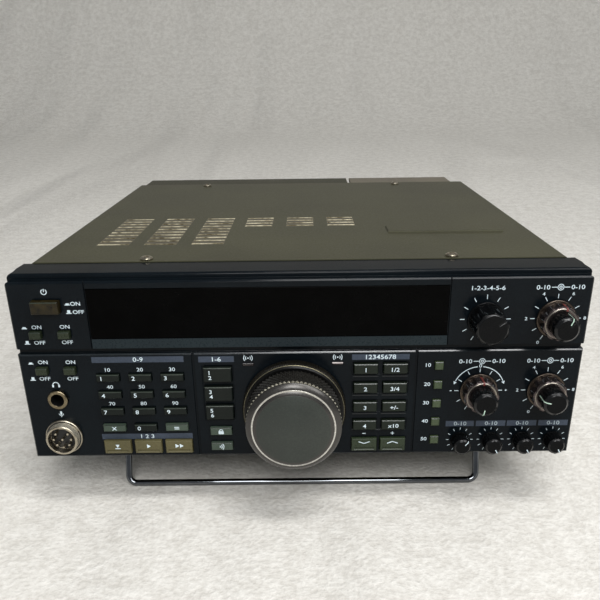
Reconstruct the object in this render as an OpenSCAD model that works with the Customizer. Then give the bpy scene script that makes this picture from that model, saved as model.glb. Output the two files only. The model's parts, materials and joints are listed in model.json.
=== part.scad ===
// A desk-top short-wave transceiver, standing with its front raised on a wire bail.
// Every piece is drawn level: x to the right, y from the panel's face to the back,
// z up from the panel's bottom edge. stand() then tilts the set onto its bail and rear feet.

/* [Front panel] */
// Width of the front panel
panel_w = 271; // [251:1:298]
// Height of the panel at its rear edge
panel_h = 95.5; // [95:0.5:104]
// Depth of the panel's moulding, from its face back to the covers
panel_d = 18.9; // [18.5:0.1:24]
// How far each side draws in towards the covers
side_draft = 3.5; // [1.5:0.5:3.5]
// Thickness of the front wall
panel_wall = 3; // [2.6:0.1:3.6]
// Thickness of the rim at the panel's sides
rim_wall = 1.6; // [1.2:0.1:1.6]
// Thickness of the panel's bottom wall
lower_wall = 1.6; // [1:0.1:1.6]
// Bevel along the edges of the face
face_bevel = 0.8; // [0.3:0.1:1.2]
// Height of the face, up to the ledge below the brow
face_h = 91.5; // [91:0.1:93]
// Depth of the ledge between the face and the brow
ledge_d = 4.6; // [3:0.1:6]
// Fall of the brow from its rear edge to its front
brow_fall = 1.3; // [0.5:0.1:2]
// Rounding of the brow's front edge
brow_r = 1.6; // [0.8:0.1:2]
// Rounding of the upper corners of the face and the brow
corner_r = 2; // [1:0.1:3]
// Height of the lower row of the face
lower_row_h = 56; // [55.5:0.1:56.5]
// Height of the channel between the two rows
channel_h = 2.7; // [2:0.1:3]
// Depth of the channel between the two rows
channel_d = 2.4; // [1:0.1:2.6]
// Bevel along the top edge of the lower row
row_bevel = 0.7; // [0.3:0.1:1]
// Width of the upright grooves in the lower row
groove_w = 1.3; // [0.8:0.1:1.6]
// Depth of the upright grooves
groove_d = 1.2; // [0.6:0.1:1.6]
// Place of the left groove across the panel
groove_left_x = -51.6; // [-52.2:0.1:-50.8]
// Place of the right groove across the panel
groove_right_x = 56.1; // [55.2:0.1:57]

/* [Display] */
// Width of the display window
window_w = 168.4; // [150:0.2:168.6]
// Height of the display window
window_h = 24.4; // [20:0.2:24.8]
// Middle of the window across the panel
window_x = -14.5; // [-14.8:0.1:-14.2]
// Middle of the window above the panel's bottom
window_z = 75.8; // [74.5:0.1:76]
// Thickness of the window pane
pane_t = 1.8; // [1.2:0.1:2]
// Width of the seat that the pane rests on
pane_seat = 2; // [1:0.5:3]
// Width of the slim joints beside the window
seam_w = 0.5; // [0.3:0.1:0.6]
// Width of an indicator lens
lens_w = 5.3; // [4:0.1:6]
// Height of an indicator lens
lens_h = 1.3; // [1:0.1:1.8]
// Height of the indicator lenses above the panel's bottom
lens_z = 49.8; // [49:0.1:50.5]
// Distance between the two indicator lenses
lens_span = 43.1; // [42:0.1:44]

/* [Case] */
// How far the panel stands out beyond the covers at each side
case_step = 6.5; // [4.5:0.5:10]
// Length of the covers
case_d = 252; // [235:1:280]
// Height of the top cover above the panel's bottom
case_h = 96; // [95.5:0.5:104]
// Height of the seam between the top and bottom covers
case_seam_z = 48; // [40:1:56]
// Gap along the seam between the covers
seam_gap = 0.4; // [0.2:0.1:1]
// Thickness of the cover sheet
sheet = 1.2; // [0.8:0.1:1.6]
// Bend radius along the covers' long edges
bend_r = 2; // [1.7:0.1:3]
// Thickness of the chassis sheet
chassis_t = 1.5; // [1:0.1:2]
// Width of the chassis flanges that take the cover screws
flange_w = 14; // [10:1:18]
// Width of a long vent
vent_w = 16.3; // [12:0.1:20]
// Pitch of the long vents across the cover
vent_pitch = 24.85; // [22:0.05:26]
// Place of the middle long vent across the cover
vent_x = -73.1; // [-76:0.1:-70]
// Start of the long vents behind the panel's face
vent_y = 54.5; // [50:0.5:60]
// Number of slots in a long vent
vent_slots = 10; // [6:1:11]
// Pitch of the vent slots
slot_pitch = 7.6; // [6:0.1:7.8]
// Width of a vent slot
slot_w = 2.4; // [1.6:0.1:3.2]
// Width of a short vent
short_vent_w = 15.3; // [12:0.1:18]
// Pitch of the short vents across the cover
short_vent_pitch = 24.05; // [20:0.05:26]
// Number of slots in a short vent
short_vent_slots = 4; // [2:1:5]
// Length of the raised pad on the top cover
pad_w = 63.5; // [50:0.5:70]
// Width of the raised pad
pad_d = 17; // [12:0.5:20]
// Height of the raised pad
pad_h = 1; // [0.6:0.1:1.5]
// Middle of the raised pad across the cover
pad_x = 80.7; // [75:0.1:85]
// Middle of the raised pad behind the panel's face
pad_y = 85.5; // [75:0.5:95]
// Half the distance between the cover screws, across
screw_x = 73.7; // [70:0.1:78]
// Distance of the front cover screws from the covers' front edge
screw_inset = 3.6; // [3.4:0.1:8]
// Radius of a cover screw's head
screw_head_r = 3.1; // [2.4:0.1:3.3]
// Radius of a cover screw's thread
screw_r = 1.5; // [1.2:0.1:1.8]
// Height of a cover screw's head
screw_head_h = 1.7; // [1.2:0.1:2.2]

/* [Heat sinks] */
// Depth of the heat sinks behind the covers
sink_d = 34; // [24:1:40]
// Distance of the wide heat sink from the covers' left side
sink_left_in = 3.35; // [1:0.05:10]
// Distance of the narrow heat sink from the covers' right side
sink_right_in = 8.15; // [1:0.05:12]
// Gap between the two heat sinks
sink_gap = 2.3; // [1:0.1:4]
// Place of the gap between the heat sinks across the back
sink_gap_x = 38.9; // [36:0.1:40]
// Distance of the heat sinks' tops below the top cover
sink_drop = 1; // [0:0.5:6]
// Height of the heat sinks' undersides above the panel's bottom
sink_bottom_z = 37; // [36:0.5:45]
// Thickness of a heat sink's base and top plate
sink_base_t = 5; // [3:0.5:8]
// Thickness of a cooling fin
fin_t = 2.2; // [1.4:0.1:3]
// Pitch of the cooling fins
fin_pitch = 7; // [6:0.1:9]

/* [Feet and bail] */
// Height of the feet below the bottom cover
foot_h = 11.3; // [10:0.1:14]
// Radius of a rear foot
rear_foot_r = 9; // [7:0.5:12]
// Half the distance between the rear feet
rear_foot_x = 95; // [85:1:110]
// Distance of the rear feet from the covers' rear edge
rear_foot_inset = 26; // [20:1:40]
// Width of a front foot
front_foot_w = 12; // [9:0.5:14]
// Length of a front foot
front_foot_d = 24; // [18:0.5:32]
// Distance of the front feet behind the panel's face
front_foot_y = 22; // [20:0.5:24]
// Distance between the middles of the bail's legs
bail_w = 190.5; // [180:0.5:200]
// Length of the bail from its pivot to the middle of its bar
bail_l = 22.7; // [20:0.1:28]
// Radius of the bail's wire
bail_r = 1.75; // [1.5:0.05:2.2]
// Bend radius of the bail's corners
bail_bend = 4.4; // [4:0.1:6]
// Bend radius of the bail's pivot ends
pivot_bend = 4; // [3:0.1:4.4]
// Length of the bail's pivot ends in the front feet
pivot_l = 8; // [5:0.5:9]
// Lean of the open bail's legs towards the front, from the upright
bail_lean = 20.3; // [10:0.1:30]
// Distance of the pivot behind the front of its foot
pivot_inset = 4.2; // [4:0.1:5]
// Height of the pivot above the foot's underside
pivot_z = 4.6; // [4.5:0.1:5.5]
// Running clearance round the pivot
pivot_gap = 0.08; // [0.03:0.01:0.1]

/* [Tuning dial] */
// Middle of the dial across the panel
dial_x = -3.2; // [-3.6:0.1:-2.8]
// Middle of the dial above the panel's bottom
dial_z = 27; // [26.6:0.1:27.4]
// Radius of the dial's skirt
dial_skirt_r = 25.4; // [24.8:0.1:25.6]
// Length of the dial in front of the panel
dial_l = 25.4; // [22:0.1:30]
// Length of the dial's skirt
dial_skirt_l = 6.8; // [5:0.1:8]
// Radius of the rubber grip
grip_r = 23.3; // [22.9:0.1:23.6]
// Radius of the silver bezel
bezel_r = 22.6; // [21.5:0.1:22.8]
// Length of the bezel, from the groove behind it to the face
bezel_l = 3.5; // [3:0.1:5]
// Radius of the polished ring round the face
ring_r = 20; // [19.6:0.1:20.6]
// Width of the polished ring
ring_w = 0.9; // [0.5:0.1:1]
// How far the polished ring lies behind the face
ring_back = 1.1; // [0.6:0.1:1.5]
// Radius of the dial's face
dial_face_r = 17.7; // [16:0.1:18.4]
// Number of grooves round the grip
grip_grooves = 90; // [60:1:96]
// Depth of the grooves in the grip
grip_groove_d = 0.4; // [0.2:0.05:0.5]
// Radius of the grooves in the grip
grip_groove_r = 0.6; // [0.5:0.05:0.8]
// Radius of the dial's shaft
dial_shaft_r = 3; // [2.5:0.1:4]

/* [Knobs] */
// Gap between a knob and the panel
knob_gap = 0.8; // [0.4:0.1:1.2]
// Running clearance of a shaft in its bush
shaft_gap = 0.08; // [0.03:0.01:0.1]
// Radius of a knob's shaft
shaft_r = 2; // [1.6:0.1:2.2]
// Radius of a double control's hollow outer shaft
sleeve_r = 3; // [2.9:0.1:3.4]
// Distance of the left column of knobs from the panel's right end
knob_left_in = 48.4; // [47.5:0.1:49.5]
// Distance of the right column of knobs from the panel's right end
knob_right_in = 15.6; // [14.5:0.1:16.5]
// Height of the upper knobs
knob_upper_z = 71.4; // [70:0.1:72]
// Height of the lower knobs
knob_lower_z = 34.8; // [34:0.1:36]
// Length of the channel knob
channel_knob_l = 15.6; // [13:0.1:18]
// Radius of the channel knob at its foot
channel_knob_r = 8.6; // [8:0.1:9]
// Radius of a double control's outer ring
outer_ring_r = 9.2; // [8.7:0.1:9.3]
// Length of a double control's outer ring
outer_ring_l = 8.8; // [7:0.1:10]
// Number of scallops round a ring or the channel knob
scallops = 10; // [8:1:14]
// Radius of a scallop
scallop_r = 3; // [2:0.1:3.4]
// Depth of a scallop
scallop_d = 0.6; // [0.3:0.1:0.8]
// Radius of a double control's inner knob
inner_knob_r = 5.9; // [5.2:0.1:6.2]
// Length of a double control, ring and knob together
double_l = 17.6; // [16:0.1:20]
// Number of flutes round an inner knob
inner_flutes = 18; // [12:1:20]
// Distance of the last small knob from the panel's right end
trim_in = 9; // [9:0.1:9.5]
// Pitch of the small knobs
trim_pitch = 15.5; // [15.2:0.1:15.6]
// Height of the small knobs
trim_z = 7.7; // [7.2:0.1:8.2]
// Radius of a small knob
trim_r = 4.3; // [4:0.1:4.6]
// Length of a small knob
trim_l = 8.9; // [8:0.1:10]
// Number of flutes round a small knob
trim_flutes = 20; // [14:1:22]
// Radius of a flute
flute_r = 0.5; // [0.4:0.05:0.6]
// Depth of a flute
flute_d = 0.3; // [0.2:0.05:0.35]

/* [Keys] */
// Gap round a key in its opening
key_gap = 0.2; // [0.15:0.05:0.3]
// Depth of the pockets round the mode keys and the pairs of function keys
pocket_d = 0.5; // [0.3:0.1:0.8]
// Width of the pocket seen round those keys
pocket_edge = 0.8; // [0.5:0.1:1]
// Depth of the finger groove along the foot of a memory, down or up key
finger_d = 0.5; // [0.3:0.1:0.8]
// Radius of the finger groove
finger_r = 0.9; // [0.8:0.1:1]
// Bevel on a key's front edges
key_bevel = 0.4; // [0.2:0.1:0.6]
// Width of the flange that holds a key behind the panel
key_flange = 0.7; // [0.5:0.05:0.75]
// Thickness of that flange
key_flange_t = 1.2; // [0.8:0.1:1.4]
// Free play of a key's flange behind the panel
key_play = 0.1; // [0.05:0.05:0.2]
// Width of the stem that pushes the switch
key_stem = 2.4; // [1.8:0.1:2.6]
// Length of the stem
key_stem_l = 2; // [1.5:0.1:2.2]
// Travel of a key
key_travel = 0.8; // [0.4:0.1:1.2]
// Travel of a push switch that latches
latch_travel = 2.5; // [1.5:0.1:2.6]
// How far the keys stand out of the panel
key_proud = 2; // [1.4:0.1:3]
// How far the power switch stands out
power_proud = 4; // [3:0.1:5]
// How far the other latching switches stand out
latch_proud = 3; // [2.7:0.1:3.5]
// How far the square keys stand out
side_key_proud = 1.5; // [1.3:0.1:2.5]
// Width of the power switch
power_w = 12.8; // [10:0.1:13.4]
// Height of the power switch
power_h = 5.9; // [5:0.1:7]
// Width of the other latching switches
latch_w = 5.5; // [5:0.1:6.5]
// Height of the other latching switches
latch_h = 3.5; // [3:0.1:4]
// Distance of the left latching switches from the panel's left end
latch_left_in = 11; // [10.7:0.1:11.5]
// Distance of the right latching switches from the panel's left end
latch_right_in = 24.5; // [24:0.1:25]
// Height of the upper pair of latching switches
latch_upper_z = 66.3; // [66:0.1:68]
// Height of the lower pair of latching switches
latch_lower_z = 48; // [47.5:0.1:48.5]
// Distance of the power switch's middle from the panel's left end
power_in = 18; // [17.5:0.1:18.5]
// Height of the power switch
power_z = 80; // [78:0.1:80.4]
// First column of the number keys
pad_key_x = -93.2; // [-93.6:0.1:-92.8]
// Pitch of the number keys across
pad_key_pitch_x = 15.6; // [15.2:0.1:15.8]
// Top row of the number keys
pad_key_z = 44; // [43.6:0.1:44.4]
// Pitch of the number keys upright
pad_key_pitch_z = 9.04; // [8.8:0.02:9.2]
// Width of a number key
pad_key_w = 11.1; // [9:0.1:12]
// Height of a number key
pad_key_h = 3.7; // [3.2:0.1:5]
// First memory key across the panel
memory_x = -92.8; // [-93.2:0.1:-92.4]
// Pitch of the memory keys
memory_pitch = 15.5; // [15.4:0.1:15.9]
// Height of the memory keys' middle
memory_z = 6.1; // [6:0.1:6.3]
// Width of a memory key
memory_w = 13.5; // [11:0.1:13.6]
// Height of a memory key
memory_h = 7; // [5:0.1:7.2]
// Middle of the mode keys across the panel
mode_x = -40; // [-40.4:0.1:-39.6]
// Height of the first mode key
mode_z = 45.1; // [44.8:0.1:45.4]
// Pitch of the mode keys
mode_pitch = 10.1; // [9.9:0.1:10.3]
// Width of a mode key
mode_w = 13.7; // [11:0.1:14]
// Height of a mode key
mode_h = 7.6; // [6.5:0.1:7.8]
// Width of the lock and voice keys
lock_w = 10.7; // [9:0.1:12]
// Height of the lock and voice keys
lock_h = 4.2; // [3.5:0.1:5]
// Height of the lock key's middle
lock_z = 14.5; // [14:0.1:15]
// Height of the voice key's middle
voice_z = 6; // [5.8:0.1:6.4]
// First column of the function keys
function_x = 31.7; // [31.5:0.1:32]
// Pitch of the function keys across
function_pitch_x = 14.3; // [14.2:0.1:14.6]
// Top row of the function keys
function_z = 47.3; // [47:0.1:47.6]
// Pitch of the function keys upright
function_pitch_z = 10.07; // [9.9:0.01:10.2]
// Width of a function key
function_w = 11.7; // [10:0.1:12]
// Height of a function key
function_h = 5.2; // [4:0.1:6]
// Width of the down and up keys
step_w = 12.7; // [10:0.1:12.8]
// Height of the down and up keys
step_h = 6.9; // [5:0.1:7]
// Gap between the down and up keys
step_gap = 1.6; // [1.5:0.1:2]
// Middle height of the down and up keys
step_z = 6.2; // [6.1:0.1:6.5]
// Distance of the square keys from the panel's right end
side_key_in = 68.5; // [68.1:0.1:68.9]
// Height of the first square key
side_key_z = 48.4; // [48:0.1:48.8]
// Pitch of the square keys
side_key_pitch = 10.05; // [9.8:0.05:10.2]
// Side of a square key
side_key_w = 4.1; // [3.5:0.1:5]

/* [Sockets] */
// Distance of the front sockets from the panel's left end
socket_in = 16.3; // [15.9:0.1:16.7]
// Height of the headphone jack
phones_z = 32.7; // [32:0.1:33.4]
// Radius of the headphone jack's bore
phones_r = 3.25; // [3.2:0.05:3.3]
// Radius of the headphone jack's ring nut
phones_nut_r = 4.95; // [4.7:0.05:5.5]
// Depth of the headphone jack's bore
phones_depth = 31; // [28:0.5:34]
// Height of the microphone socket
mic_z = 12.2; // [12:0.1:12.6]
// Radius of the microphone socket's thread
mic_r = 7.9; // [7.5:0.1:8.2]
// Radius of the microphone socket's ring nut
mic_nut_r = 9.2; // [8.8:0.1:9.6]
// How far the microphone socket stands out of its nut
mic_l = 4; // [3.5:0.1:5]
// Radius of the antenna socket's thread
antenna_r = 7.9; // [7.5:0.1:8]
// Length of the antenna socket's thread
antenna_l = 12; // [9:0.5:14]
// Radius of an accessory socket's opening
accessory_r = 6.8; // [6:0.1:7.2]
// Radius of a small jack's bore
small_jack_r = 1.8; // [1.75:0.05:1.9]
// Height of the row of sockets on the back
rear_row_z = 19; // [17:0.5:20]
// Place of the antenna socket across the back
antenna_x = 96; // [90:1:100]
// Place of the earth post across the back
earth_x = 66; // [56:1:70]
// Place of the round accessory socket across the back
accessory_x = 24; // [16:1:40]
// Place of the first small jack across the back
jack_x = -22; // [-26:1:-10]
// Distance between the two small jacks
jack_pitch = 18; // [14:1:24]
// Place of the power inlet across the back
inlet_x = -92; // [-98:1:-80]
// Width of the power inlet's opening
inlet_w = 30; // [24:1:34]
// Height of the power inlet's opening
inlet_h = 14; // [10:1:16]

/* [Inside] */
// Distance of the control board behind the panel's face
board_y = 12; // [11.6:0.1:12.2]
// Thickness of the circuit boards
board_t = 1.6; // [1.2:0.1:2]
// Radius of the loudspeaker
speaker_r = 35; // [30:0.5:37]
// Height of the loudspeaker
speaker_h = 26; // [20:0.5:30]

/* [Hidden] */
$fn = 72;
panel_color = "#1b2026";
cover_color = "#4b483e";
trim_color = "#131518";
dark_key_color = "#2b2c26";
olive_key_color = "#4f5a4c";
khaki_key_color = "#6b6445";
pale_key_color = "#6d7565";
nickel_color = "#b9b7b0";

// Places and widths across the panel are given for a panel 271 wide, and spread with the panel
spread = panel_w / 271;
function spot(x) = x * spread;

// Panel
half_w = panel_w / 2;
pane_w = spot(window_w);
pane_x = spot(window_x);
dial_mid = spot(dial_x);
power_x = power_in - half_w;
latch_left_x = latch_left_in - half_w;
latch_right_x = latch_right_in - half_w;
socket_x = socket_in - half_w;
knob_left_x = half_w - knob_left_in;
knob_right_x = half_w - knob_right_in;
side_key_x = half_w - side_key_in;
trim_step = spot(trim_pitch);
trim_x = half_w - trim_in - 3 * trim_step;
brow_z = panel_h - brow_fall;
cavity_half_w = half_w - side_draft - rim_wall;
top_wall = 2;
cavity_top_z = face_h - top_wall;
upper_row_z = lower_row_h + channel_h;
rib_w = 2;
fuse = 0.5;
shaft_play = 0.5;
boss_r = 2;
boss_gap = 0.3;
pane_gap = 0.1;
pane_inset = 0.05;
pane_bevel = 0.2;
lens_proud = 0.3;
side_channel_d = 0.6;

// Case
case_y = panel_d;
case_end = case_y + case_d;
case_bottom_z = 0.8;
half_case = half_w - case_step;
half_chassis = half_case - sheet;
chassis_top_z = case_h - sheet;
sink_top_z = case_h - sink_drop;
chassis_bottom_z = case_bottom_z + sheet;
shelf_z = case_seam_z - 2;
screw_front_y = case_y + screw_inset;
screw_rear_y = case_end - 10;
screw_spots = [for (side = [-1, 1], y = [screw_front_y, screw_rear_y]) [side * screw_x, y]];
screw_grip = 3;
screw_gap = 0.15;
flange_t = 2;
antenna_flange = 26;
contact_r = 2.1;
contact_l = 9;
post_r = 2.5;
post_step = 2;
jack_l = 10;
jack_body = 11;
jack_collar_r = 4;
inlet_wall = 2;
inlet_l = 12;
inlet_pin = 1;
inlet_pin_l = 3;
accessory_wall = 2;
accessory_l = 6;
vent_mid = spot(vent_x);
vent_d = (vent_slots - 1) * slot_pitch + slot_w;
speaker_gap = 0.2;
pad_bevel = 0.5;
speaker_rim = 4;
board_inset = 8;
// A row of round cans along the main board's rear edge
can_x = -100;
can_pitch = 14;
can_back = 37;
can_r = 5;
can_h = 22;
// Blocks on the main board: low corner across and behind the covers' front edge, width, length and height
board_blocks = concat(
    [[-70, 135, 50, 65, 18], [10, 130, 90, 75, 26], [20, 40, 35, 55, 14]],
    [for (i = [0:2], j = [0:1]) [66 + i * 13, 45 + j * 14, 10, 10, 11]]);

// Stand: the bail's bar and the rear edges of the rear feet meet the floor together
foot_bottom_z = case_bottom_z - foot_h;
rear_foot_y = case_end - rear_foot_inset;
pivot_y = front_foot_y + pivot_inset;
pivot_height = foot_bottom_z + pivot_z;
bar_y = pivot_y - bail_l * sin(bail_lean);
bar_z = pivot_height - bail_l * cos(bail_lean);
stand_run = rear_foot_y + rear_foot_r - bar_y;
stand_rise = foot_bottom_z - bar_z;
tilt = atan2(stand_rise, stand_run) + asin(bail_r / norm([stand_run, stand_rise]));
lift = bar_y * sin(tilt) - bar_z * cos(tilt) + bail_r;
sink_end = case_end + sink_d;
front_reach = -dial_l * cos(tilt) + (dial_z - dial_face_r) * sin(tilt);
rear_reach = sink_end * cos(tilt) + sink_top_z * sin(tilt);
middle_y = (front_reach + rear_reach) / 2;
front_foot_x = bail_w / 2 - pivot_bend - bail_r - front_foot_w / 2;

// Controls: a key's caps are listed as middle across, middle up, width and height
function key_column(x, z, pitch, count, w, h) = [for (i = [0 : count - 1]) [x, z - i * pitch, w, h]];
latches = [
    ["power_button", [[power_x, power_z, power_w, power_h]], power_proud],
    ["vox_button", [[latch_left_x, latch_upper_z, latch_w, latch_h]], latch_proud],
    ["attenuator_button", [[latch_right_x, latch_upper_z, latch_w, latch_h]], latch_proud],
    ["send_button", [[latch_left_x, latch_lower_z, latch_w, latch_h]], latch_proud],
    ["tuner_button", [[latch_right_x, latch_lower_z, latch_w, latch_h]], latch_proud],
];
mode_mid = spot(mode_x);
function_left = spot(function_x);
function_step = spot(function_pitch_x);
function_mid = function_left + function_step / 2;
keys = concat(
    [for (i = [0:2]) [str("keypad_column_", i + 1),
        key_column(spot(pad_key_x + i * pad_key_pitch_x), pad_key_z, pad_key_pitch_z, 4,
                   spot(pad_key_w), pad_key_h),
        key_proud, dark_key_color]],
    [for (i = [0:2]) [str("memory_key_", i + 1),
        [[spot(memory_x + i * memory_pitch), memory_z, spot(memory_w), memory_h]],
        key_proud, khaki_key_color, finger_d]],
    [for (i = [0:2]) [str("mode_key_", i + 1),
        [[mode_mid, mode_z - i * mode_pitch, spot(mode_w), mode_h]], key_proud, dark_key_color]],
    [["lock_key", [[mode_mid, lock_z, spot(lock_w), lock_h]], key_proud, olive_key_color]],
    [["voice_key", [[mode_mid, voice_z, spot(lock_w), lock_h]], key_proud, olive_key_color]],
    [for (i = [0:7]) [str("function_key_", i + 1),
        [[function_left + (i % 2) * function_step, function_z - floor(i / 2) * function_pitch_z,
          spot(function_w), function_h]], key_proud, dark_key_color]],
    [for (i = [0:1]) [["down_key", "up_key"][i],
        [[function_mid + (i - 0.5) * (spot(step_w) + step_gap), step_z, spot(step_w), step_h]],
        key_proud, dark_key_color, finger_d]],
    [for (i = [0:4]) [str("side_key_", i + 1),
        [[side_key_x, side_key_z - i * side_key_pitch, side_key_w, side_key_w]],
        side_key_proud, pale_key_color]]
);
all_caps = [for (group = [latches, keys], key = group, cap = key[1]) cap];
// Pockets round keys, listed as middle across, middle up, width and height of the keys in them
pockets = concat(
    [[mode_mid, mode_z - mode_pitch, spot(mode_w), 2 * mode_pitch + mode_h]],
    [for (i = [0:3]) [function_mid, function_z - i * function_pitch_z,
        function_step + spot(function_w), function_h]]);
pocket_r = 0.6;
doubles = [
    ["notch_ring", "squelch_knob", knob_right_x, knob_upper_z, 15, 40],
    ["shift_ring", "offset_knob", knob_left_x, knob_lower_z, 3, -170],
    ["gain_ring", "volume_knob", knob_right_x, knob_lower_z, 150, -78],
];
trims = [
    ["delay_knob", 42],
    ["carrier_knob", 150],
    ["output_knob", 150],
    ["mic_gain_knob", 150],
];
function trim_at(i) = trim_x + i * trim_step;
lens_shift = -0.25;
lens_spots = [for (side = [-1, 1]) dial_mid + lens_shift + side * spot(lens_span) / 2];
key_back_y = panel_wall + key_play + key_flange_t + key_stem_l;
phones_nut_l = 2.2;
mic_nut_l = 1.8;
nut_bevel = 0.4;
mic_depth = panel_d - 1;
socket_bay_x = socket_x + 11.5;
socket_bay_z = phones_z + 9;
// Bosses that carry the control board: three columns, three heights
boss_columns = [socket_bay_x + 2 * boss_r, side_key_x - side_key_w / 2 - key_flange - boss_r - boss_gap,
                (knob_left_x + knob_right_x) / 2];
boss_rows = [6, 57.3, 86];
boss_spots = [[0, 0], [0, 1], [0, 2], [1, 0], [1, 1], [2, 1], [2, 2]];
bosses = [for (b = boss_spots) [boss_columns[b[0]], boss_rows[b[1]]]];
bush_wall = 1.6;
bush_front_y = panel_wall + shaft_play;
shaft_end_y = board_y - 1;
hole_gap = 0.5;
pot_w = 11;
trim_pot_w = 7.4;
pot_end_y = panel_d - 0.4;
pointer_w = 0.7;
knob_foot = 0.9;
knob_bevel = 0.6;
inner_bevel = 1;
trim_bevel = 0.7;
lip_d = 0.4;
lip_gap = 0.4;
sleeve_back = 2;
dial_line_step = 1;
dial_line_w = 1;
dial_groove_w = 0.8;
bezel_edge = 0.5;
pointer_d = 0.3;

// Tilts the level set onto its bail and rear feet, with the floor at z = 0
module stand() translate([0, -middle_y, lift]) rotate([-tilt, 0, 0]) children();

// Turns a shape that points up into one that points out of the panel at (x, z)
module on_panel(x, z) translate([x, 0, z]) rotate([90, 0, 0]) children();

// Turns a shape that points up into one that points out of the rear plate at (x, z)
module on_rear(x, z) translate([x, case_end, z]) rotate([-90, 0, 0]) children();

// Extrudes a side view, drawn as depth and height, across the set
module across(width) rotate([90, 0, 90]) linear_extrude(width, center = true) children();

// A box from its low corner to its high corner
module span_box(low, high) translate(low) cube(high - low);

// A block whose front edges are bevelled, with its front face at y = 0
module bevelled_block(w, d, h, bevel) {
    intersection() {
        across(w) polygon([[bevel, -h / 2], [0, bevel - h / 2], [0, h / 2 - bevel], [bevel, h / 2],
                           [d, h / 2], [d, -h / 2]]);
        translate([0, 0, -h / 2]) linear_extrude(h)
            polygon([[-w / 2, bevel], [bevel - w / 2, 0], [w / 2 - bevel, 0], [w / 2, bevel],
                     [w / 2, d], [-w / 2, d]]);
    }
}

// Points of a quarter round from angle a, about the middle (x, y)
function quarter(x, y, r, a) = [for (i = [0:4]) [x + r * cos(a - i * 22.5), y + r * sin(a - i * 22.5)]];

// The panel's outside: its side view, drawn in at the sides towards the back
module panel_form() {
    intersection() {
        across(panel_w) polygon(concat(
            [[face_bevel, 0], [0, face_bevel], [0, face_h - face_bevel], [face_bevel, face_h]],
            [[ledge_d, face_h]],
            quarter(ledge_d + brow_r, brow_z - brow_r, brow_r, 180),
            [[panel_d, panel_h], [panel_d, 0]]));
        linear_extrude(panel_h) polygon([
            [face_bevel - half_w, 0], [half_w - face_bevel, 0], [half_w, face_bevel], [half_w, ledge_d],
            [half_w - side_draft, panel_d], [side_draft - half_w, panel_d], [-half_w, ledge_d],
            [-half_w, face_bevel]]);
    }
}

// What the rounding of an upper corner takes away, on one side and over part of the depth
module corner_waste(side, top, from, to) {
    reach = corner_r + 2;
    translate([side * (half_w - corner_r), to, top - corner_r]) rotate([90, 0, 0])
        linear_extrude(to - from) difference() {
            translate([min(0, side * reach), 0]) square(reach);
            circle(r = corner_r);
        }
}

// The groove that parts the two rows, along the face and round both sides
module channel_cut() {
    across(panel_w + 2) polygon([
        [-1, lower_row_h - row_bevel - 1], [row_bevel, lower_row_h], [channel_d, lower_row_h],
        [channel_d, upper_row_z], [-1, upper_row_z]]);
    for (side = [-1, 1])
        translate([side * (half_w + 1 - side_channel_d), panel_d / 2, lower_row_h + channel_h / 2])
            cube([2, panel_d + 2, channel_h], center = true);
}

module front_panel() {
    color(panel_color) difference() {
        union() {
            difference() {
                panel_form();
                for (side = [-1, 1]) {
                    corner_waste(side, face_h, -1, ledge_d);
                    corner_waste(side, brow_z, ledge_d, panel_d + 1);
                }
                span_box([-cavity_half_w, panel_wall, lower_wall],
                         [cavity_half_w, panel_d + 1, cavity_top_z]);
            }
            span_box([-cavity_half_w - fuse, panel_wall - fuse, lower_row_h - rib_w],
                     [cavity_half_w + fuse, panel_wall + channel_d, upper_row_z + rib_w]);
            for (b = bosses) translate([b[0], board_y, b[1]]) rotate([90, 0, 0])
                cylinder(r = boss_r, h = board_y - panel_wall + fuse);
        }
        channel_cut();
        for (x = [spot(groove_left_x), spot(groove_right_x)])
            span_box([x - groove_w / 2, -1, -1], [x + groove_w / 2, groove_d, lower_row_h + 0.5]);
        for (side = [-1, 1])
            translate([pane_x + side * (pane_w / 2 + seam_w / 2 + pane_gap), 0, upper_row_z])
                span_box([-seam_w / 2, -1, 0], [seam_w / 2, groove_d, face_h]);
        translate([pane_x, 0, window_z]) {
            cube([pane_w + 2 * pane_gap, 2 * pane_t, window_h + 2 * pane_gap], center = true);
            cube([pane_w - 2 * pane_seat, 4 * panel_wall, window_h - 2 * pane_seat], center = true);
        }
        for (p = pockets) on_panel(p[0], p[1])
            rounded_slab(p[2] + 2 * pocket_edge, p[3] + 2 * pocket_edge, pocket_r, 2 * pocket_d);
        for (x = lens_spots) translate([x, 0, lens_z])
            cube([lens_w + 2 * pane_gap, 4 * panel_wall, lens_h + 2 * pane_gap], center = true);
        for (cap = all_caps) translate([cap[0], 0, cap[1]])
            cube([cap[2] + 2 * key_gap, 4 * panel_wall, cap[3] + 2 * key_gap], center = true);
        shaft_hole(dial_mid, dial_z, dial_shaft_r);
        shaft_hole(knob_left_x, knob_upper_z, shaft_r);
        for (d = doubles) shaft_hole(d[2], d[3], sleeve_r);
        for (i = [0:3]) shaft_hole(trim_at(i), trim_z, shaft_r);
        shaft_hole(socket_x, phones_z, phones_nut_r - 1);
        shaft_hole(socket_x, mic_z, mic_r);
    }
}

// A slab with round corners, across the panel's face
module rounded_slab(w, h, r, t) {
    cube([w - 2 * r, h, t], center = true);
    cube([w, h - 2 * r, t], center = true);
    for (x = [-1, 1], y = [-1, 1]) translate([x * (w / 2 - r), y * (h / 2 - r), 0])
        cylinder(r = r, h = t, center = true);
}

// A hole through the front wall, round a shaft or a socket
module shaft_hole(x, z, r) on_panel(x, z) cylinder(r = r + hole_gap, h = 4 * panel_wall, center = true);

module display_window() {
    color("#0b0b0d") translate([pane_x, pane_inset, window_z])
        bevelled_block(pane_w, pane_t - pane_inset, window_h, pane_bevel);
}

module indicator_lenses() {
    color("#3a2f30") for (x = lens_spots) translate([x, -lens_proud, lens_z])
        bevelled_block(lens_w, board_y + lens_proud, lens_h, pane_bevel);
}

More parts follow.
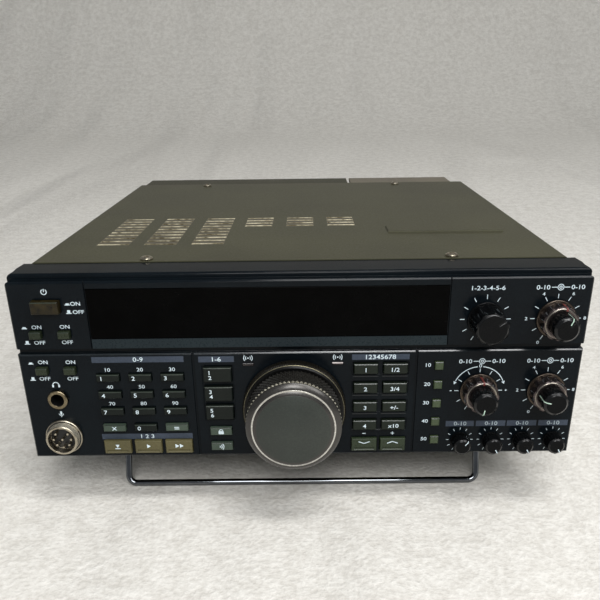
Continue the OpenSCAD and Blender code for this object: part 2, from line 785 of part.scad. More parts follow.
module phones_jack() {
    barrel_r = phones_nut_r - 1;
    body_w = 2 * barrel_r + 4;
    color(nickel_color) on_panel(socket_x, phones_z) difference() {
        union() {
            turned([[0, 0], [phones_nut_r, 0], [phones_nut_r, phones_nut_l - nut_bevel],
                    [phones_nut_r - nut_bevel, phones_nut_l], [0, phones_nut_l]]);
            translate([0, 0, -panel_wall - fuse]) cylinder(r = barrel_r, h = panel_wall + 2 * fuse);
            translate([0, 0, -(phones_depth + panel_wall) / 2])
                cube([body_w, body_w, phones_depth - panel_wall], center = true);
        }
        translate([0, 0, phones_nut_l - phones_depth]) cylinder(r = phones_r, h = phones_depth + fuse);
    }
}

module mic_connector() {
    bore_r = mic_r - 1.2;
    pin_r = 0.6;
    pin_l = 4;
    pin_circle = 4.3;
    key_w = 1.6;
    mouth = mic_nut_l + mic_l;
    foot = mouth - pin_l - pin_r;
    color(nickel_color) on_panel(socket_x, mic_z) {
        difference() {
            union() {
                turned([[0, 0], [mic_nut_r, 0], [mic_nut_r, mic_nut_l - nut_bevel],
                        [mic_nut_r - nut_bevel, mic_nut_l], [mic_r, mic_nut_l], [mic_r, mouth - nut_bevel],
                        [mic_r - nut_bevel, mouth], [0, mouth]]);
                translate([0, 0, -mic_depth]) cylinder(r = mic_r, h = mic_depth + fuse);
            }
            translate([0, 0, foot]) cylinder(r = bore_r, h = mouth);
        }
        for (i = [1:7]) rotate(90 + i * 45) translate([pin_circle, 0, foot - fuse])
            cylinder(r = pin_r, h = pin_l);
        translate([0, 0, foot - fuse]) cylinder(r = pin_r, h = pin_l);
        translate([-key_w / 2, bore_r - key_w / 2, foot - fuse]) cube([key_w, key_w, pin_l]);
    }
}

// A control's bush in front of the board and its body behind the board, bored for the shaft
module control_body(x, z, r, body_w) {
    on_panel(x, z) {
        translate([0, 0, -board_y]) cylinder(r = r + shaft_gap + bush_wall, h = board_y - bush_front_y);
        translate([0, 0, -(board_y + pot_end_y) / 2])
            cube([body_w, body_w, pot_end_y - board_y], center = true);
    }
}

module shaft_bore(x, z, r, end_y) {
    on_panel(x, z) translate([0, 0, -end_y]) cylinder(r = r + shaft_gap, h = end_y);
}

module control_board() {
    bottom_z = lower_wall + 1;
    top_z = cavity_top_z - 1;
    side = cavity_half_w - 1;
    encoder_w = 26;
    switch_w = 4.4;
    color("#2f4a35") difference() {
        union() {
            span_box([-side, board_y, bottom_z], [side, board_y + board_t, top_z]);
            translate([pane_x, 0, window_z])
                span_box([-pane_w / 2 + 2 * pane_seat, panel_wall + 1, 1.5 * pane_seat - window_h / 2],
                         [pane_w / 2 - 2 * pane_seat, board_y + fuse, window_h / 2 - 1.5 * pane_seat]);
            for (key = latches, cap = key[1])
                switch_body(cap, switch_w, latch_travel);
            for (key = keys, cap = key[1])
                switch_body(cap, min(switch_w, cap[3]), key_travel);
            control_body(dial_mid, dial_z, dial_shaft_r, encoder_w);
            control_body(knob_left_x, knob_upper_z, shaft_r, pot_w);
            for (d = doubles) control_body(d[2], d[3], sleeve_r, pot_w);
            for (i = [0:3]) control_body(trim_at(i), trim_z, shaft_r, trim_pot_w);
        }
        span_box([-side - 1, board_y - 1, 0], [socket_bay_x, pot_end_y + 1, socket_bay_z]);
        shaft_bore(dial_mid, dial_z, dial_shaft_r, shaft_end_y);
        shaft_bore(knob_left_x, knob_upper_z, shaft_r, shaft_end_y);
        for (i = [0:3]) shaft_bore(trim_at(i), trim_z, shaft_r, shaft_end_y);
        for (d = doubles) {
            shaft_bore(d[2], d[3], sleeve_r, shaft_end_y - sleeve_back + shaft_play);
            shaft_bore(d[2], d[3], shaft_r, pot_end_y - 2 * shaft_play);
        }
    }
}

// The switch behind a key, clear of the stem at the end of its travel
module switch_body(cap, w, travel) {
    span_box([cap[0] - w / 2, key_back_y + travel + key_play, cap[1] - w / 2],
             [cap[0] + w / 2, board_y + 0.5, cap[1] + w / 2]);
}

// The open frame that carries the boards, the covers and the heat sinks
module chassis() {
    low = chassis_bottom_z;
    high = chassis_top_z;
    front = case_y;
    rear = case_end;
    t = chassis_t;
    corner_cut = (bend_r - sheet) * sqrt(2);
    color("#8d8f8c") difference() {
        union() {
            for (side = [-1, 1])
                translate([side * (half_chassis - t / 2), (front + rear) / 2, (low + high) / 2])
                    cube([t, case_d, high - low], center = true);
            span_box([-half_chassis, front, low], [half_chassis, front + t, high]);
            span_box([-half_chassis, rear - t, low], [half_chassis, rear, high]);
            span_box([-half_chassis, front, shelf_z - t], [half_chassis, rear, shelf_z]);
            for (z = [low, high - t]) {
                span_box([-half_chassis, front, z], [half_chassis, front + flange_w, z + t]);
                span_box([-half_chassis, rear - flange_w, z], [half_chassis, rear, z + t]);
            }
        }
        span_box([-half_chassis + t, front - 1, low + t],
                 [socket_bay_x, front + t + 1, shelf_z - t]);
        for (s = screw_spots) translate([s[0], s[1], low - 1])
            cylinder(r = screw_r + screw_gap, h = high - low + 2);
        on_rear(antenna_x, rear_row_z) cylinder(r = antenna_r + hole_gap, h = 8 * t, center = true);
        for (x = [-half_chassis, half_chassis], z = [low, high]) translate([x, (front + rear) / 2, z])
            rotate([0, 45, 0]) cube([corner_cut, case_d + 2, corner_cut], center = true);
    }
}

module main_board() {
    top = shelf_z + board_t - fuse;
    color("#35563c") {
        span_box([board_inset - half_chassis, case_y + board_inset, shelf_z],
                 [half_chassis - board_inset, case_end - board_inset, shelf_z + board_t]);
        for (b = board_blocks) translate([b[0], case_y + b[1], top]) cube([b[2], b[3], b[4]]);
        for (i = [0:4]) translate([can_x + i * can_pitch, case_end - can_back, top])
            cylinder(r = can_r, h = can_h);
    }
}

// The loudspeaker fires up through the long vents
module speaker() {
    magnet_r = speaker_r * 0.45;
    magnet_z = speaker_h * 0.65;
    cone_r = magnet_r - speaker_rim;
    middle = [vent_mid, vent_y + vent_d / 2, chassis_top_z - speaker_gap];
    color("#3c3d3f") translate(middle) rotate([180, 0, 0])
        turned([[cone_r, speaker_rim], [speaker_r - speaker_rim, 0], [speaker_r, 0],
                [speaker_r, speaker_rim / 2], [magnet_r + speaker_rim / 2, magnet_z], [magnet_r, magnet_z],
                [magnet_r, speaker_h], [0, speaker_h], [0, magnet_z], [cone_r, magnet_z - 1]]);
}

// A heat sink between x0 and x1: a base against the chassis, a flat top and upright fins
module finned_block(x0, x1) {
    count = floor((x1 - x0 - fin_t) / fin_pitch);
    first = (x0 + x1) / 2 - count * fin_pitch / 2;
    span_box([x0, case_end, sink_bottom_z], [x1, case_end + sink_base_t, sink_top_z]);
    span_box([x0, case_end, sink_top_z - sink_base_t / 2], [x1, sink_end, sink_top_z]);
    for (i = [0:count]) translate([first + i * fin_pitch, 0, 0])
        span_box([-fin_t / 2, case_end + 1, sink_bottom_z], [fin_t / 2, sink_end - 1.5, sink_top_z - 1]);
}

module heat_sink_wide() {
    color(cover_color) finned_block(sink_left_in - half_case, sink_gap_x - sink_gap / 2);
}

module heat_sink_narrow() {
    color("#8b8378") finned_block(sink_gap_x + sink_gap / 2, half_case - sink_right_in);
}

// A threaded socket on a square flange, with the bore of its inner contact
module antenna_socket() {
    difference() {
        union() {
            translate([0, 0, flange_t / 2]) cube([antenna_flange, antenna_flange, flange_t], center = true);
            cylinder(r = antenna_r, h = flange_t + antenna_l);
            translate([0, 0, -antenna_l]) cylinder(r = antenna_r, h = antenna_l + fuse);
        }
        translate([0, 0, flange_t + antenna_l - contact_l]) cylinder(r = contact_r, h = contact_l + fuse);
    }
}

// A screw post with a washer and a thumb nut
module earth_post() {
    turned([[0, 0], [2 * post_r, 0], [2 * post_r, post_step], [post_r, post_step], [post_r, 3 * post_step],
            [2.4 * post_r, 3 * post_step], [2.4 * post_r, 5 * post_step], [post_r, 5 * post_step],
            [post_r, 7 * post_step], [0, 7 * post_step]]);
}

// A square-bodied jack with a round collar
module small_jack() {
    difference() {
        union() {
            translate([0, 0, jack_l / 2 - 1]) cube([jack_body, jack_body, jack_l - 2], center = true);
            cylinder(r = jack_collar_r, h = jack_l);
        }
        translate([0, 0, 1]) cylinder(r = small_jack_r, h = jack_l);
    }
}

// A shrouded recess for the plug of the power lead
module power_inlet() {
    difference() {
        span_box([-inlet_w / 2 - inlet_wall, 0, -inlet_h / 2 - inlet_wall],
                 [inlet_w / 2 + inlet_wall, inlet_l, inlet_h / 2 + inlet_wall]);
        span_box([-inlet_w / 2, inlet_wall, -inlet_h / 2], [inlet_w / 2, inlet_l + 1, inlet_h / 2]);
    }
    for (side = [-1, 1]) translate([side * inlet_w / 5, inlet_wall - fuse, 0])
        span_box([-inlet_pin, 0, -2 * inlet_pin], [inlet_pin, inlet_pin_l + fuse, 2 * inlet_pin]);
}

module rear_connectors() {
    color(nickel_color) {
        on_rear(antenna_x, rear_row_z) antenna_socket();
        on_rear(earth_x, rear_row_z) earth_post();
    }
    color("#1a1b1c") {
        translate([inlet_x, case_end, rear_row_z]) power_inlet();
        on_rear(accessory_x, rear_row_z) difference() {
            cylinder(r = accessory_r + accessory_wall, h = accessory_l + accessory_wall);
            translate([0, 0, accessory_wall]) cylinder(r = accessory_r, h = accessory_l + 1);
        }
        for (i = [0:1]) on_rear(jack_x - i * jack_pitch, rear_row_z) small_jack();
    }
}

// A cover's cross-section at one inset from its outside, with sides that hang down by drop
module cover_outline(inset, drop) {
    polygon(concat(
        [[inset - half_case, -drop]],
        quarter(bend_r - half_case, -bend_r, bend_r - inset, 180),
        quarter(half_case - bend_r, -bend_r, bend_r - inset, 90),
        [[half_case - inset, -drop]]));
}

module cover_section(drop) {
    difference() {
        cover_outline(0, drop);
        cover_outline(sheet, drop + 1);
    }
}

module cover_shell(drop) {
    translate([0, case_end, 0]) rotate([90, 0, 0]) linear_extrude(case_d) cover_section(drop);
}

module vent(x, y, w, slots) {
    for (i = [0 : slots - 1])
        translate([x, y + slot_w / 2 + i * slot_pitch, case_h]) cube([w, slot_w, 6 * sheet], center = true);
}

module top_cover() {
    color(cover_color) {
        difference() {
            translate([0, 0, case_h]) cover_shell(case_h - case_seam_z - seam_gap / 2);
            for (i = [-1:1]) {
                vent(vent_mid + i * vent_pitch, vent_y, vent_w, vent_slots);
                vent(i * short_vent_pitch, vent_y + vent_d - (short_vent_slots - 1) * slot_pitch - slot_w,
                     short_vent_w, short_vent_slots);
            }
            for (s = screw_spots) translate([s[0], s[1], case_h - 3 * sheet])
                cylinder(r = screw_r + screw_gap, h = 6 * sheet);
        }
        translate([pad_x, pad_y, case_h + pad_h]) rotate([-90, 0, 0])
            bevelled_block(pad_w, pad_h + sheet / 2, pad_d, pad_bevel);
    }
}

module bottom_cover() {
    color(cover_color) difference() {
        translate([0, 0, case_bottom_z]) mirror([0, 0, 1])
            cover_shell(case_seam_z - seam_gap / 2 - case_bottom_z);
        for (s = screw_spots) translate([s[0], s[1], case_bottom_z - 3 * sheet])
            cylinder(r = screw_r + screw_gap, h = 6 * sheet);
    }
}

// A pan-head screw with a cross recess, standing on z = 0 with its thread below
module pan_screw() {
    recess_w = screw_head_r * 0.28;
    recess_l = screw_head_r * 1.15;
    recess_d = screw_head_h * 0.55;
    difference() {
        turned([[0, -screw_grip], [screw_r, -screw_grip], [screw_r, 0], [screw_head_r, 0],
                [screw_head_r, screw_head_h * 0.45], [screw_head_r * 0.72, screw_head_h * 0.88],
                [screw_head_r * 0.3, screw_head_h], [0, screw_head_h]]);
        for (turn = [45, 135]) rotate(turn) translate([0, 0, screw_head_h])
            cube([recess_l, recess_w, 2 * recess_d], center = true);
    }
}

module cover_screws() {
    color(nickel_color) for (s = screw_spots) {
        translate([s[0], s[1], case_h]) pan_screw();
        translate([s[0], s[1], case_bottom_z]) mirror([0, 0, 1]) pan_screw();
    }
}

module feet() {
    color("#1d1d1e") for (side = [-1, 1]) {
        translate([side * rear_foot_x, rear_foot_y, foot_bottom_z]) cylinder(r = rear_foot_r, h = foot_h);
        difference() {
            translate([side * front_foot_x, front_foot_y + front_foot_d / 2, foot_bottom_z + foot_h / 2])
                cube([front_foot_w, front_foot_d, foot_h], center = true);
            translate([side * bail_w / 2, pivot_y, pivot_height]) rotate([0, -side * 90, 0])
                cylinder(r = bail_r + pivot_gap, h = pivot_bend + bail_r + pivot_l + 0.5);
        }
    }
}

// Half of the bail, hanging from a pivot on the x axis: pivot end, bend, leg, bend and half the bar
module bail_half() {
    leg_x = bail_w / 2;
    translate([leg_x - pivot_bend - bail_r - pivot_l, 0, 0]) rotate([0, 90, 0])
        cylinder(r = bail_r, h = pivot_l + bail_r);
    translate([leg_x - pivot_bend, 0, -pivot_bend]) rotate([90, 0, 0])
        rotate_extrude(angle = 90) translate([pivot_bend, 0]) circle(r = bail_r);
    translate([leg_x, 0, bail_bend - bail_l]) cylinder(r = bail_r, h = bail_l - bail_bend - pivot_bend);
    translate([leg_x - bail_bend, 0, bail_bend - bail_l]) rotate([90, 0, 0])
        rotate([0, 0, -90]) rotate_extrude(angle = 90) translate([bail_bend, 0]) circle(r = bail_r);
    translate([0, 0, -bail_l]) rotate([0, 90, 0]) cylinder(r = bail_r, h = leg_x - bail_bend);
}

module bail() {
    color("#c9c9c7") translate([0, pivot_y, pivot_height]) rotate([-bail_lean, 0, 0]) {
        bail_half();
        mirror([1, 0, 0]) bail_half();
    }
}

// A round bar with flutes along its side, from one height to another
module fluted_bar(r, count, cutter_r, bite, from, to) {
    translate([0, 0, from]) linear_extrude(to - from) difference() {
        circle(r = r);
        for (i = [0 : count - 1]) rotate((i + 0.5) * 360 / count) translate([r + cutter_r - bite, 0])
            circle(r = cutter_r);
    }
}

// A control's shaft, from its end in the bush up to a length in front of the panel
module knob_shaft(r, length) {
    translate([0, 0, shaft_play - shaft_end_y]) cylinder(r = r, h = shaft_end_y - shaft_play + length);
}

// A turned solid, drawn as radius and height
module turned(points) rotate_extrude() polygon(points);

module tuning_dial() {
    bezel_foot = dial_l - bezel_l;
    grip_end = bezel_foot - dial_groove_w;
    neck_r = bezel_r - dial_groove_w;
    ring_l = dial_l - ring_back;
    line_r = dial_skirt_r - dial_line_step;
    color("#3a3c3c") on_panel(dial_mid, dial_z) {
        turned([[0, knob_gap], [dial_skirt_r, knob_gap], [dial_skirt_r, dial_skirt_l - 2 * dial_line_w],
                [line_r, dial_skirt_l - dial_line_w], [line_r, dial_skirt_l], [0, dial_skirt_l]]);
        fluted_bar(grip_r, grip_grooves, grip_groove_r, grip_groove_d, dial_skirt_l, grip_end);
        turned([[0, grip_end], [neck_r, grip_end], [neck_r, bezel_foot], [bezel_r, bezel_foot],
                [bezel_r, bezel_foot + bezel_edge], [ring_r, ring_l],
                [ring_r - ring_w, ring_l + bezel_edge / 4], [dial_face_r, dial_l], [0, dial_l]]);
        knob_shaft(dial_shaft_r, dial_l / 2);
    }
}

// A line cut into a knob's face, pointing up before the knob is turned
module pointer_cut(r, length) {
    translate([-pointer_w / 2, r * 0.45, length - pointer_d]) cube([pointer_w, r, 1]);
}

// A fluted knob with a bevelled face and a pointer line
module fluted_knob(r, count, from, length, bevel) {
    core_r = r - flute_d;
    difference() {
        union() {
            fluted_bar(r, count, flute_r, flute_d, from, length - bevel);
            turned([[0, length - bevel], [core_r, length - bevel], [core_r - bevel, length], [0, length]]);
        }
        pointer_cut(core_r - bevel, length);
    }
}

// A scalloped knob: a foot, a waisted side and a bevelled face
module scalloped_form(r, length) {
    side_r = r - knob_foot;
    face_r = side_r - scallop_d;
    foot = knob_gap + knob_foot;
    turned([[0, knob_gap], [r, knob_gap], [r, foot - pointer_d], [r - pointer_d, foot], [0, foot]]);
    fluted_bar(side_r, scallops, scallop_r, scallop_d, foot, length - knob_bevel);
    turned([[0, length - knob_bevel], [face_r, length - knob_bevel], [face_r - knob_bevel, length],
            [0, length]]);
}

module channel_knob() {
    color(trim_color) on_panel(knob_left_x, knob_upper_z) {
        rotate(-55) difference() {
            scalloped_form(channel_knob_r, channel_knob_l);
            pointer_cut(channel_knob_r - 1.5, channel_knob_l);
        }
        knob_shaft(shaft_r, channel_knob_l / 2);
    }
}

module outer_ring(d) {
    color("#4a4038") on_panel(d[2], d[3]) difference() {
        union() {
            rotate(-d[4]) scalloped_form(outer_ring_r, outer_ring_l);
            translate([0, 0, sleeve_back - shaft_end_y]) cylinder(r = sleeve_r, h = shaft_end_y);
        }
        translate([0, 0, -shaft_end_y]) cylinder(r = shaft_r + shaft_gap, h = shaft_end_y + double_l);
        translate([0, 0, outer_ring_l - lip_d]) cylinder(r = inner_knob_r + lip_gap, h = 2 * lip_d);
    }
}

module inner_knob(d) {
    foot = outer_ring_l + shaft_play;
    color(trim_color) on_panel(d[2], d[3]) {
        rotate(-d[5]) fluted_knob(inner_knob_r, inner_flutes, foot, double_l, inner_bevel);
        translate([0, 0, 3 * shaft_play - pot_end_y]) cylinder(r = shaft_r, h = pot_end_y + double_l * 0.7);
    }
}

module trim_knob(i) {
    color(trim_color) on_panel(trim_at(i), trim_z) {
        foot = knob_gap + knob_foot;
        foot_r = trim_r + knob_foot / 2;
        turned([[0, knob_gap], [foot_r, knob_gap], [foot_r, foot], [0, foot]]);
        rotate(-trims[i][1]) fluted_knob(trim_r, trim_flutes, foot, trim_l, trim_bevel);
        knob_shaft(shaft_r, trim_l / 2);
    }
}

// A key: its cap through the panel, a flange behind the panel and a stem to the switch.
// Some caps have a finger groove along the foot of their face.
module key_cap(cap, proud, groove = 0) {
    flange_y = panel_wall + key_play;
    groove_l = cap[2] - 3 * finger_r;
    translate([cap[0], 0, cap[1]]) {
        translate([0, -proud, 0]) difference() {
            bevelled_block(cap[2], proud + flange_y, cap[3], key_bevel);
            if (groove > 0) translate([0, groove - finger_r, finger_r + key_bevel - cap[3] / 2])
                rotate([0, 90, 0]) cylinder(r = finger_r, h = groove_l, center = true);
        }
        translate([0, flange_y + key_flange_t / 2, 0])
            cube([cap[2] + 2 * key_flange, key_flange_t, cap[3] + 2 * key_flange], center = true);
        translate([0, flange_y + key_flange_t + key_stem_l / 2, 0])
            cube([key_stem, key_stem_l, key_stem], center = true);
    }
}

module push_key(key, tint, groove = 0) color(tint) for (cap = key[1]) key_cap(cap, key[2], groove);

stand() front_panel();
stand() display_window();
stand() indicator_lenses();
stand() phones_jack();
stand() mic_connector();
stand() control_board();
stand() chassis();
stand() main_board();
stand() speaker();
stand() heat_sink_wide();
stand() heat_sink_narrow();
stand() rear_connectors();
stand() top_cover();
stand() bottom_cover();
stand() cover_screws();
stand() feet();
stand() bail();
stand() tuning_dial();
stand() channel_knob();
for (d = doubles) {
    stand() outer_ring(d);
    stand() inner_knob(d);
}
for (i = [0:3]) stand() trim_knob(i);
for (l = latches) stand() push_key(l, dark_key_color);
for (k = keys) stand() push_key(k, k[3], len(k) > 4 ? k[4] : 0);
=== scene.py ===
# %% [markdown]
# # A desk-top short-wave transceiver
# The set is a steel case with a moulded control panel, standing with its front raised on a
# wire bail. The solids come from the CAD frame. Here they get rounded edges, finishes, printed
# marks and the fine parts that only the eye needs, such as the knurl of the tuning dial.

# %% Load the frame
import json
import math
import bpy
from mathutils import Matrix, Vector


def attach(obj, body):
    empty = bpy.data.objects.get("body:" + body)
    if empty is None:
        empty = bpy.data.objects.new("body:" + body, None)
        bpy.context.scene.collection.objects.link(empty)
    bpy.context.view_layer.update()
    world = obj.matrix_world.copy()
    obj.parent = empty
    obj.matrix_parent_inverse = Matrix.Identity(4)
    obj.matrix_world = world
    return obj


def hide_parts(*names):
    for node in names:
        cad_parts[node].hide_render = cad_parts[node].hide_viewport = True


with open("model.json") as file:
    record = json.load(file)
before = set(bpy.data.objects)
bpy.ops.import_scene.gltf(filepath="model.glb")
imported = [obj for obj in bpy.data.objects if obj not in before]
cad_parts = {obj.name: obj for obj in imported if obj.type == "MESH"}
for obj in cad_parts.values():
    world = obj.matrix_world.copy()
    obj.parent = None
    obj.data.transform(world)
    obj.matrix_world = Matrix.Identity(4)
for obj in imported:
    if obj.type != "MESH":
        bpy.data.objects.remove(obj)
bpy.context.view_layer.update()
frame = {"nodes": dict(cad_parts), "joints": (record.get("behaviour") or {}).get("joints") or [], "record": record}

joints = {joint["name"]: joint for joint in frame["joints"]}
slot_of = {row["node"]: row["material_slot"] for row in frame["record"]["subparts"]}
body_of = {node: body for body, nodes in frame["record"]["behaviour"]["bodies"].items()
           for node in nodes}

# %% [markdown]
# ## A level drawing board
# The set leans back by a few degrees, so every piece would be awkward to draw in place. It is
# easier to draw level, in millimetres, with x to the right, y from the panel's face to the back
# and z up from the panel's bottom edge, and then to lean the finished piece back. The lean is
# read from the dial's own axis, so it always agrees with the solids.

# %% The level frame
MM = 0.001
DIAL = (-3.2, 27.0)
DIAL_JOINT_OUT = 5.0
dial_joint = joints["tuning_dial_turn"]
dial_axis = Vector(dial_joint["axis"])
lean_angle = math.atan2(-dial_axis.z, dial_axis.y)
LEAN = Matrix.Rotation(-lean_angle, 4, "X")
dial_spot = Vector((DIAL[0], -DIAL_JOINT_OUT, DIAL[1])) * MM
STAND = Matrix.Translation(Vector(dial_joint["pos_m"]) - LEAN @ dial_spot) @ LEAN
STAND_MM = STAND @ Matrix.Scale(MM, 4)
TO_LEVEL = STAND_MM.inverted()
TO_LEVEL_TURN = LEAN.inverted().to_3x3()


def on_panel(x, z, turn=0.0, out=0.0):
    """A place on the panel: local x right, y up, z out of it, turned clockwise in degrees."""
    return (Matrix.Translation((x, -out, z)) @ Matrix.Rotation(math.radians(90), 4, "X")
            @ Matrix.Rotation(math.radians(-turn), 4, "Z"))


print("lean", round(math.degrees(lean_angle), 3), "degrees")

# %% [markdown]
# ## The camera
# The photograph was taken from in front of the set and above it, with the image cropped off
# centre. The place, the angles and the shift were solved from the edges of the panel and covers.

# %% Camera
camera_data = bpy.data.cameras.new("photo_camera")
camera_data.sensor_width = 36.0
camera_data.lens = 42.58
camera_data.shift_x = -0.0072
camera_data.shift_y = 0.1657
camera_data.clip_start = 0.01
camera = bpy.data.objects.new("photo_camera", camera_data)
bpy.context.scene.collection.objects.link(camera)
camera_spot = Vector((3.488, -317.396, 178.294)) * MM
camera_turn = (Matrix.Rotation(math.radians(-0.011), 4, "Z")
               @ Matrix.Rotation(math.radians(0.671), 4, "Y")
               @ Matrix.Rotation(math.radians(65.092), 4, "X"))
camera.matrix_world = STAND @ Matrix.Translation(camera_spot) @ camera_turn
bpy.context.scene.camera = camera
print("camera at", [round(v, 3) for v in camera.matrix_world.translation])

# %% [markdown]
# ## Colours and shader nodes
# Every finish is a Principled shader with a pattern behind it. Colours are written as the hex
# values one would pick from a paint card, and turned to the linear values that light works in.
# One helper adds a node, sets its values and links its inputs. Two noises make the pattern: a
# slow drift of tone over the piece and a fine grain that also varies the gloss.

# %% Colour and node helpers
bpy.context.scene.view_settings.view_transform = "Standard"
MM_IN_METRE = 1000


def linear(hex_colour):
    """An sRGB hex colour as linear RGBA."""
    parts = [int(hex_colour[i:i + 2], 16) / 255 for i in (1, 3, 5)]
    rgb = [p / 12.92 if p <= 0.04045 else ((p + 0.055) / 1.055) ** 2.4 for p in parts]
    return tuple(rgb) + (1.0,)


def add(tree, kind, settings, links=None):
    """Adds one shader node, sets its values or sockets, and links its sockets."""
    node = tree.nodes.new("ShaderNode" + kind)
    for key, value in settings.items():
        if isinstance(key, int) or key in node.inputs:
            node.inputs[key].default_value = value
        else:
            setattr(node, key, value)
    for key, source in (links or {}).items():
        tree.links.new(source, node.inputs[key])
    return node


def finish(name, colour, second, grain, rough, swing=0.06, bump=0.0, cloud=30.0, metallic=0.0,
           **sockets):
    """A finish that drifts between two tones, with grain, bump and cloud in millimetres."""
    material = bpy.data.materials.new(name)
    material.use_nodes = True
    tree = material.node_tree
    shader = tree.nodes["Principled BSDF"]
    shader.inputs["Metallic"].default_value = metallic
    for key, value in sockets.items():
        shader.inputs[key.replace("_", " ")].default_value = value
    place = add(tree, "TexCoord", {}).outputs["Object"]
    drift = add(tree, "TexNoise", {"Scale": MM_IN_METRE / cloud, "Detail": 3.0}, {"Vector": place})
    fine = add(tree, "TexNoise", {"Scale": MM_IN_METRE / grain, "Detail": 2.0}, {"Vector": place})
    blend = add(tree, "Mix", {"Factor": 0.5}, {2: drift.outputs["Fac"], 3: fine.outputs["Fac"]})
    tone = add(tree, "MapRange", {"From Min": 0.38, "From Max": 0.62}, {"Value": blend.outputs[0]})
    mix = add(tree, "Mix", {"data_type": "RGBA", 6: linear(colour), 7: linear(second)},
              {0: tone.outputs[0]})
    tree.links.new(mix.outputs[2], shader.inputs["Base Color"])
    gloss = add(tree, "MapRange", {"From Min": 0.3, "From Max": 0.7, "To Min": rough - swing,
                                   "To Max": rough + swing}, {"Value": fine.outputs["Fac"]})
    tree.links.new(gloss.outputs[0], shader.inputs["Roughness"])
    if bump:
        relief = add(tree, "Bump", {"Distance": bump * MM}, {"Height": fine.outputs["Fac"]})
        tree.links.new(relief.outputs["Normal"], shader.inputs["Normal"])
    return material


print("helpers ready")

# %% [markdown]
# ### Moulded plastics
# The panel is ABS from a spark-eroded mould, which leaves a fine matt grain. The keys and knobs
# are the same plastic in other colours, smoother where fingers rub them. The grain is drawn
# coarser than the real tenth of a millimetre so that it shows.

# %% Plastics
# Spark-eroded black plastic: a soft, weak sheen with a blue cast.
panel_abs = finish("moulded_abs_blue_black", "#080c10", "#0e1418", 0.7, 0.15, 0.03, bump=0.002,
                   Specular_IOR_Level=0.095)
# Polished smoked sheet with nothing lit behind it: almost pure black.
window_acrylic = finish("smoked_acrylic_polished", "#010101", "#030303", 8.0, 0.12, 0.03,
                        Specular_IOR_Level=0.03)
# Tinted clear plastic without a lamp behind it: nearly black, with a red cast.
lens_dark = finish("tinted_polystyrene_lens", "#171214", "#241c1d", 2.0, 0.25)
# The same plastic painted pale on the right lens's upper half: a painted highlight.
lens_painted_highlight = finish("polystyrene_lens_painted_highlight", "#a39896", "#c4bab7", 2.0, 0.3)
# Number and mode keys: nearly black caps with a smooth, faint sheen.
key_charcoal = finish("moulded_abs_charcoal", "#0e1311", "#151a17", 0.6, 0.2, 0.04, bump=0.003,
                      Specular_IOR_Level=0.16)
# Function keys: as dark, with a touch of green.
key_black_green = finish("moulded_abs_black_green", "#131913", "#1a2119", 0.6, 0.2, 0.04,
                         bump=0.003, Specular_IOR_Level=0.2)
# Down and up keys: plainly green and more matt.
key_dark_green = finish("moulded_abs_dark_green", "#232d1d", "#2e3726", 0.6, 0.3, bump=0.006,
                        Specular_IOR_Level=0.3)
# Lock and voice keys, and two at the foot of the keypad: a matt grey green.
key_grey_green = finish("moulded_abs_grey_green", "#38443a", "#445045", 0.6, 0.34, bump=0.006,
                        Specular_IOR_Level=0.3)
# Small square keys: the same matt plastic, a little yellower.
key_side_green = finish("moulded_abs_sage_green", "#39442f", "#455039", 0.6, 0.34, bump=0.006,
                        Specular_IOR_Level=0.3)
# Memory keys: matt khaki, the warmest tone on the panel.
key_khaki = finish("moulded_abs_khaki", "#4f4a31", "#5d573a", 0.6, 0.34, bump=0.006,
                   Specular_IOR_Level=0.3)
# Push switches: dull dark olive.
switch_olive = finish("moulded_abs_olive", "#1e2519", "#2a3122", 0.6, 0.3, bump=0.006,
                      Specular_IOR_Level=0.25)
# The most used switch: brown patches show where the skin is worn.
power_brown = finish("worn_moulded_abs_brown", "#120e06", "#2e2712", 1.6, 0.36, 0.1, bump=0.015,
                     cloud=5.0, Specular_IOR_Level=0.25)
# Knobs: a deep black that hardly shines.
knob_black = finish("moulded_abs_black", "#060708", "#0b0c0d", 0.6, 0.14, 0.02,
                    Specular_IOR_Level=0.09)
# The same plastic polished by fingers: bright lines on bevels and flutes.
knob_edge = finish("finger_polished_abs_black", "#08090a", "#0f1011", 0.6, 0.2, 0.02,
                   Specular_IOR_Level=0.35)
# Upper edges of the panel that face the lamp: paler and glossier, a painted highlight line.
panel_painted_highlight = finish("abs_blue_black_painted_highlight", "#12171a", "#1b2124", 0.7, 0.2, 0.03,
                    Specular_IOR_Level=0.5)
# Upper edges of the keys that face the lamp: glossier green grey, a painted highlight line.
key_painted_highlight = finish("abs_grey_green_painted_highlight", "#252b25", "#31382f", 0.6, 0.22, 0.03,
                  Specular_IOR_Level=0.45)
# Resin in the sockets: a dull black that swallows the light.
socket_black = finish("moulded_phenolic_black", "#0b0b0c", "#141415", 0.6, 0.4, bump=0.01)
print("plastics ready")

# %% [markdown]
# ### Metals, paint and rubber
# The covers are sheet steel with a fine textured stove enamel. Sockets and screws are nickel
# plate, the bail is chromium plate, and the rings of the double controls carry a thin dark metal
# film that has worn to bronze at the edges. Rubber is matt and slightly dusty. The texture of
# the enamel and the castings is drawn coarser than it is, so that it shows.

# %% Metals, paint and rubber
# Sprayed and baked on sheet steel: matt olive, with a fine texture and a slow drift of tone.
cover_enamel = finish("textured_stove_enamel_olive", "#3b3a2c", "#444332", 0.9, 0.45, bump=0.02,
                      cloud=60.0, Specular_IOR_Level=0.12)
# The bars between the slots: browner than the rest of the top, with a hint of the metal.
vent_enamel = finish("browner_stove_enamel_olive", "#413b28", "#574e36", 2.0, 0.4, cloud=12.0,
                     metallic=0.3)
# Walls and edges of the slots: a warm brass tone with pale patches that are painted glints.
vent_brass_painted_glints = finish("brass_toned_edge_painted_glints", "#5a5136", "#d6cfb2", 3.0, 0.35, cloud=14.0,
                    metallic=0.4)
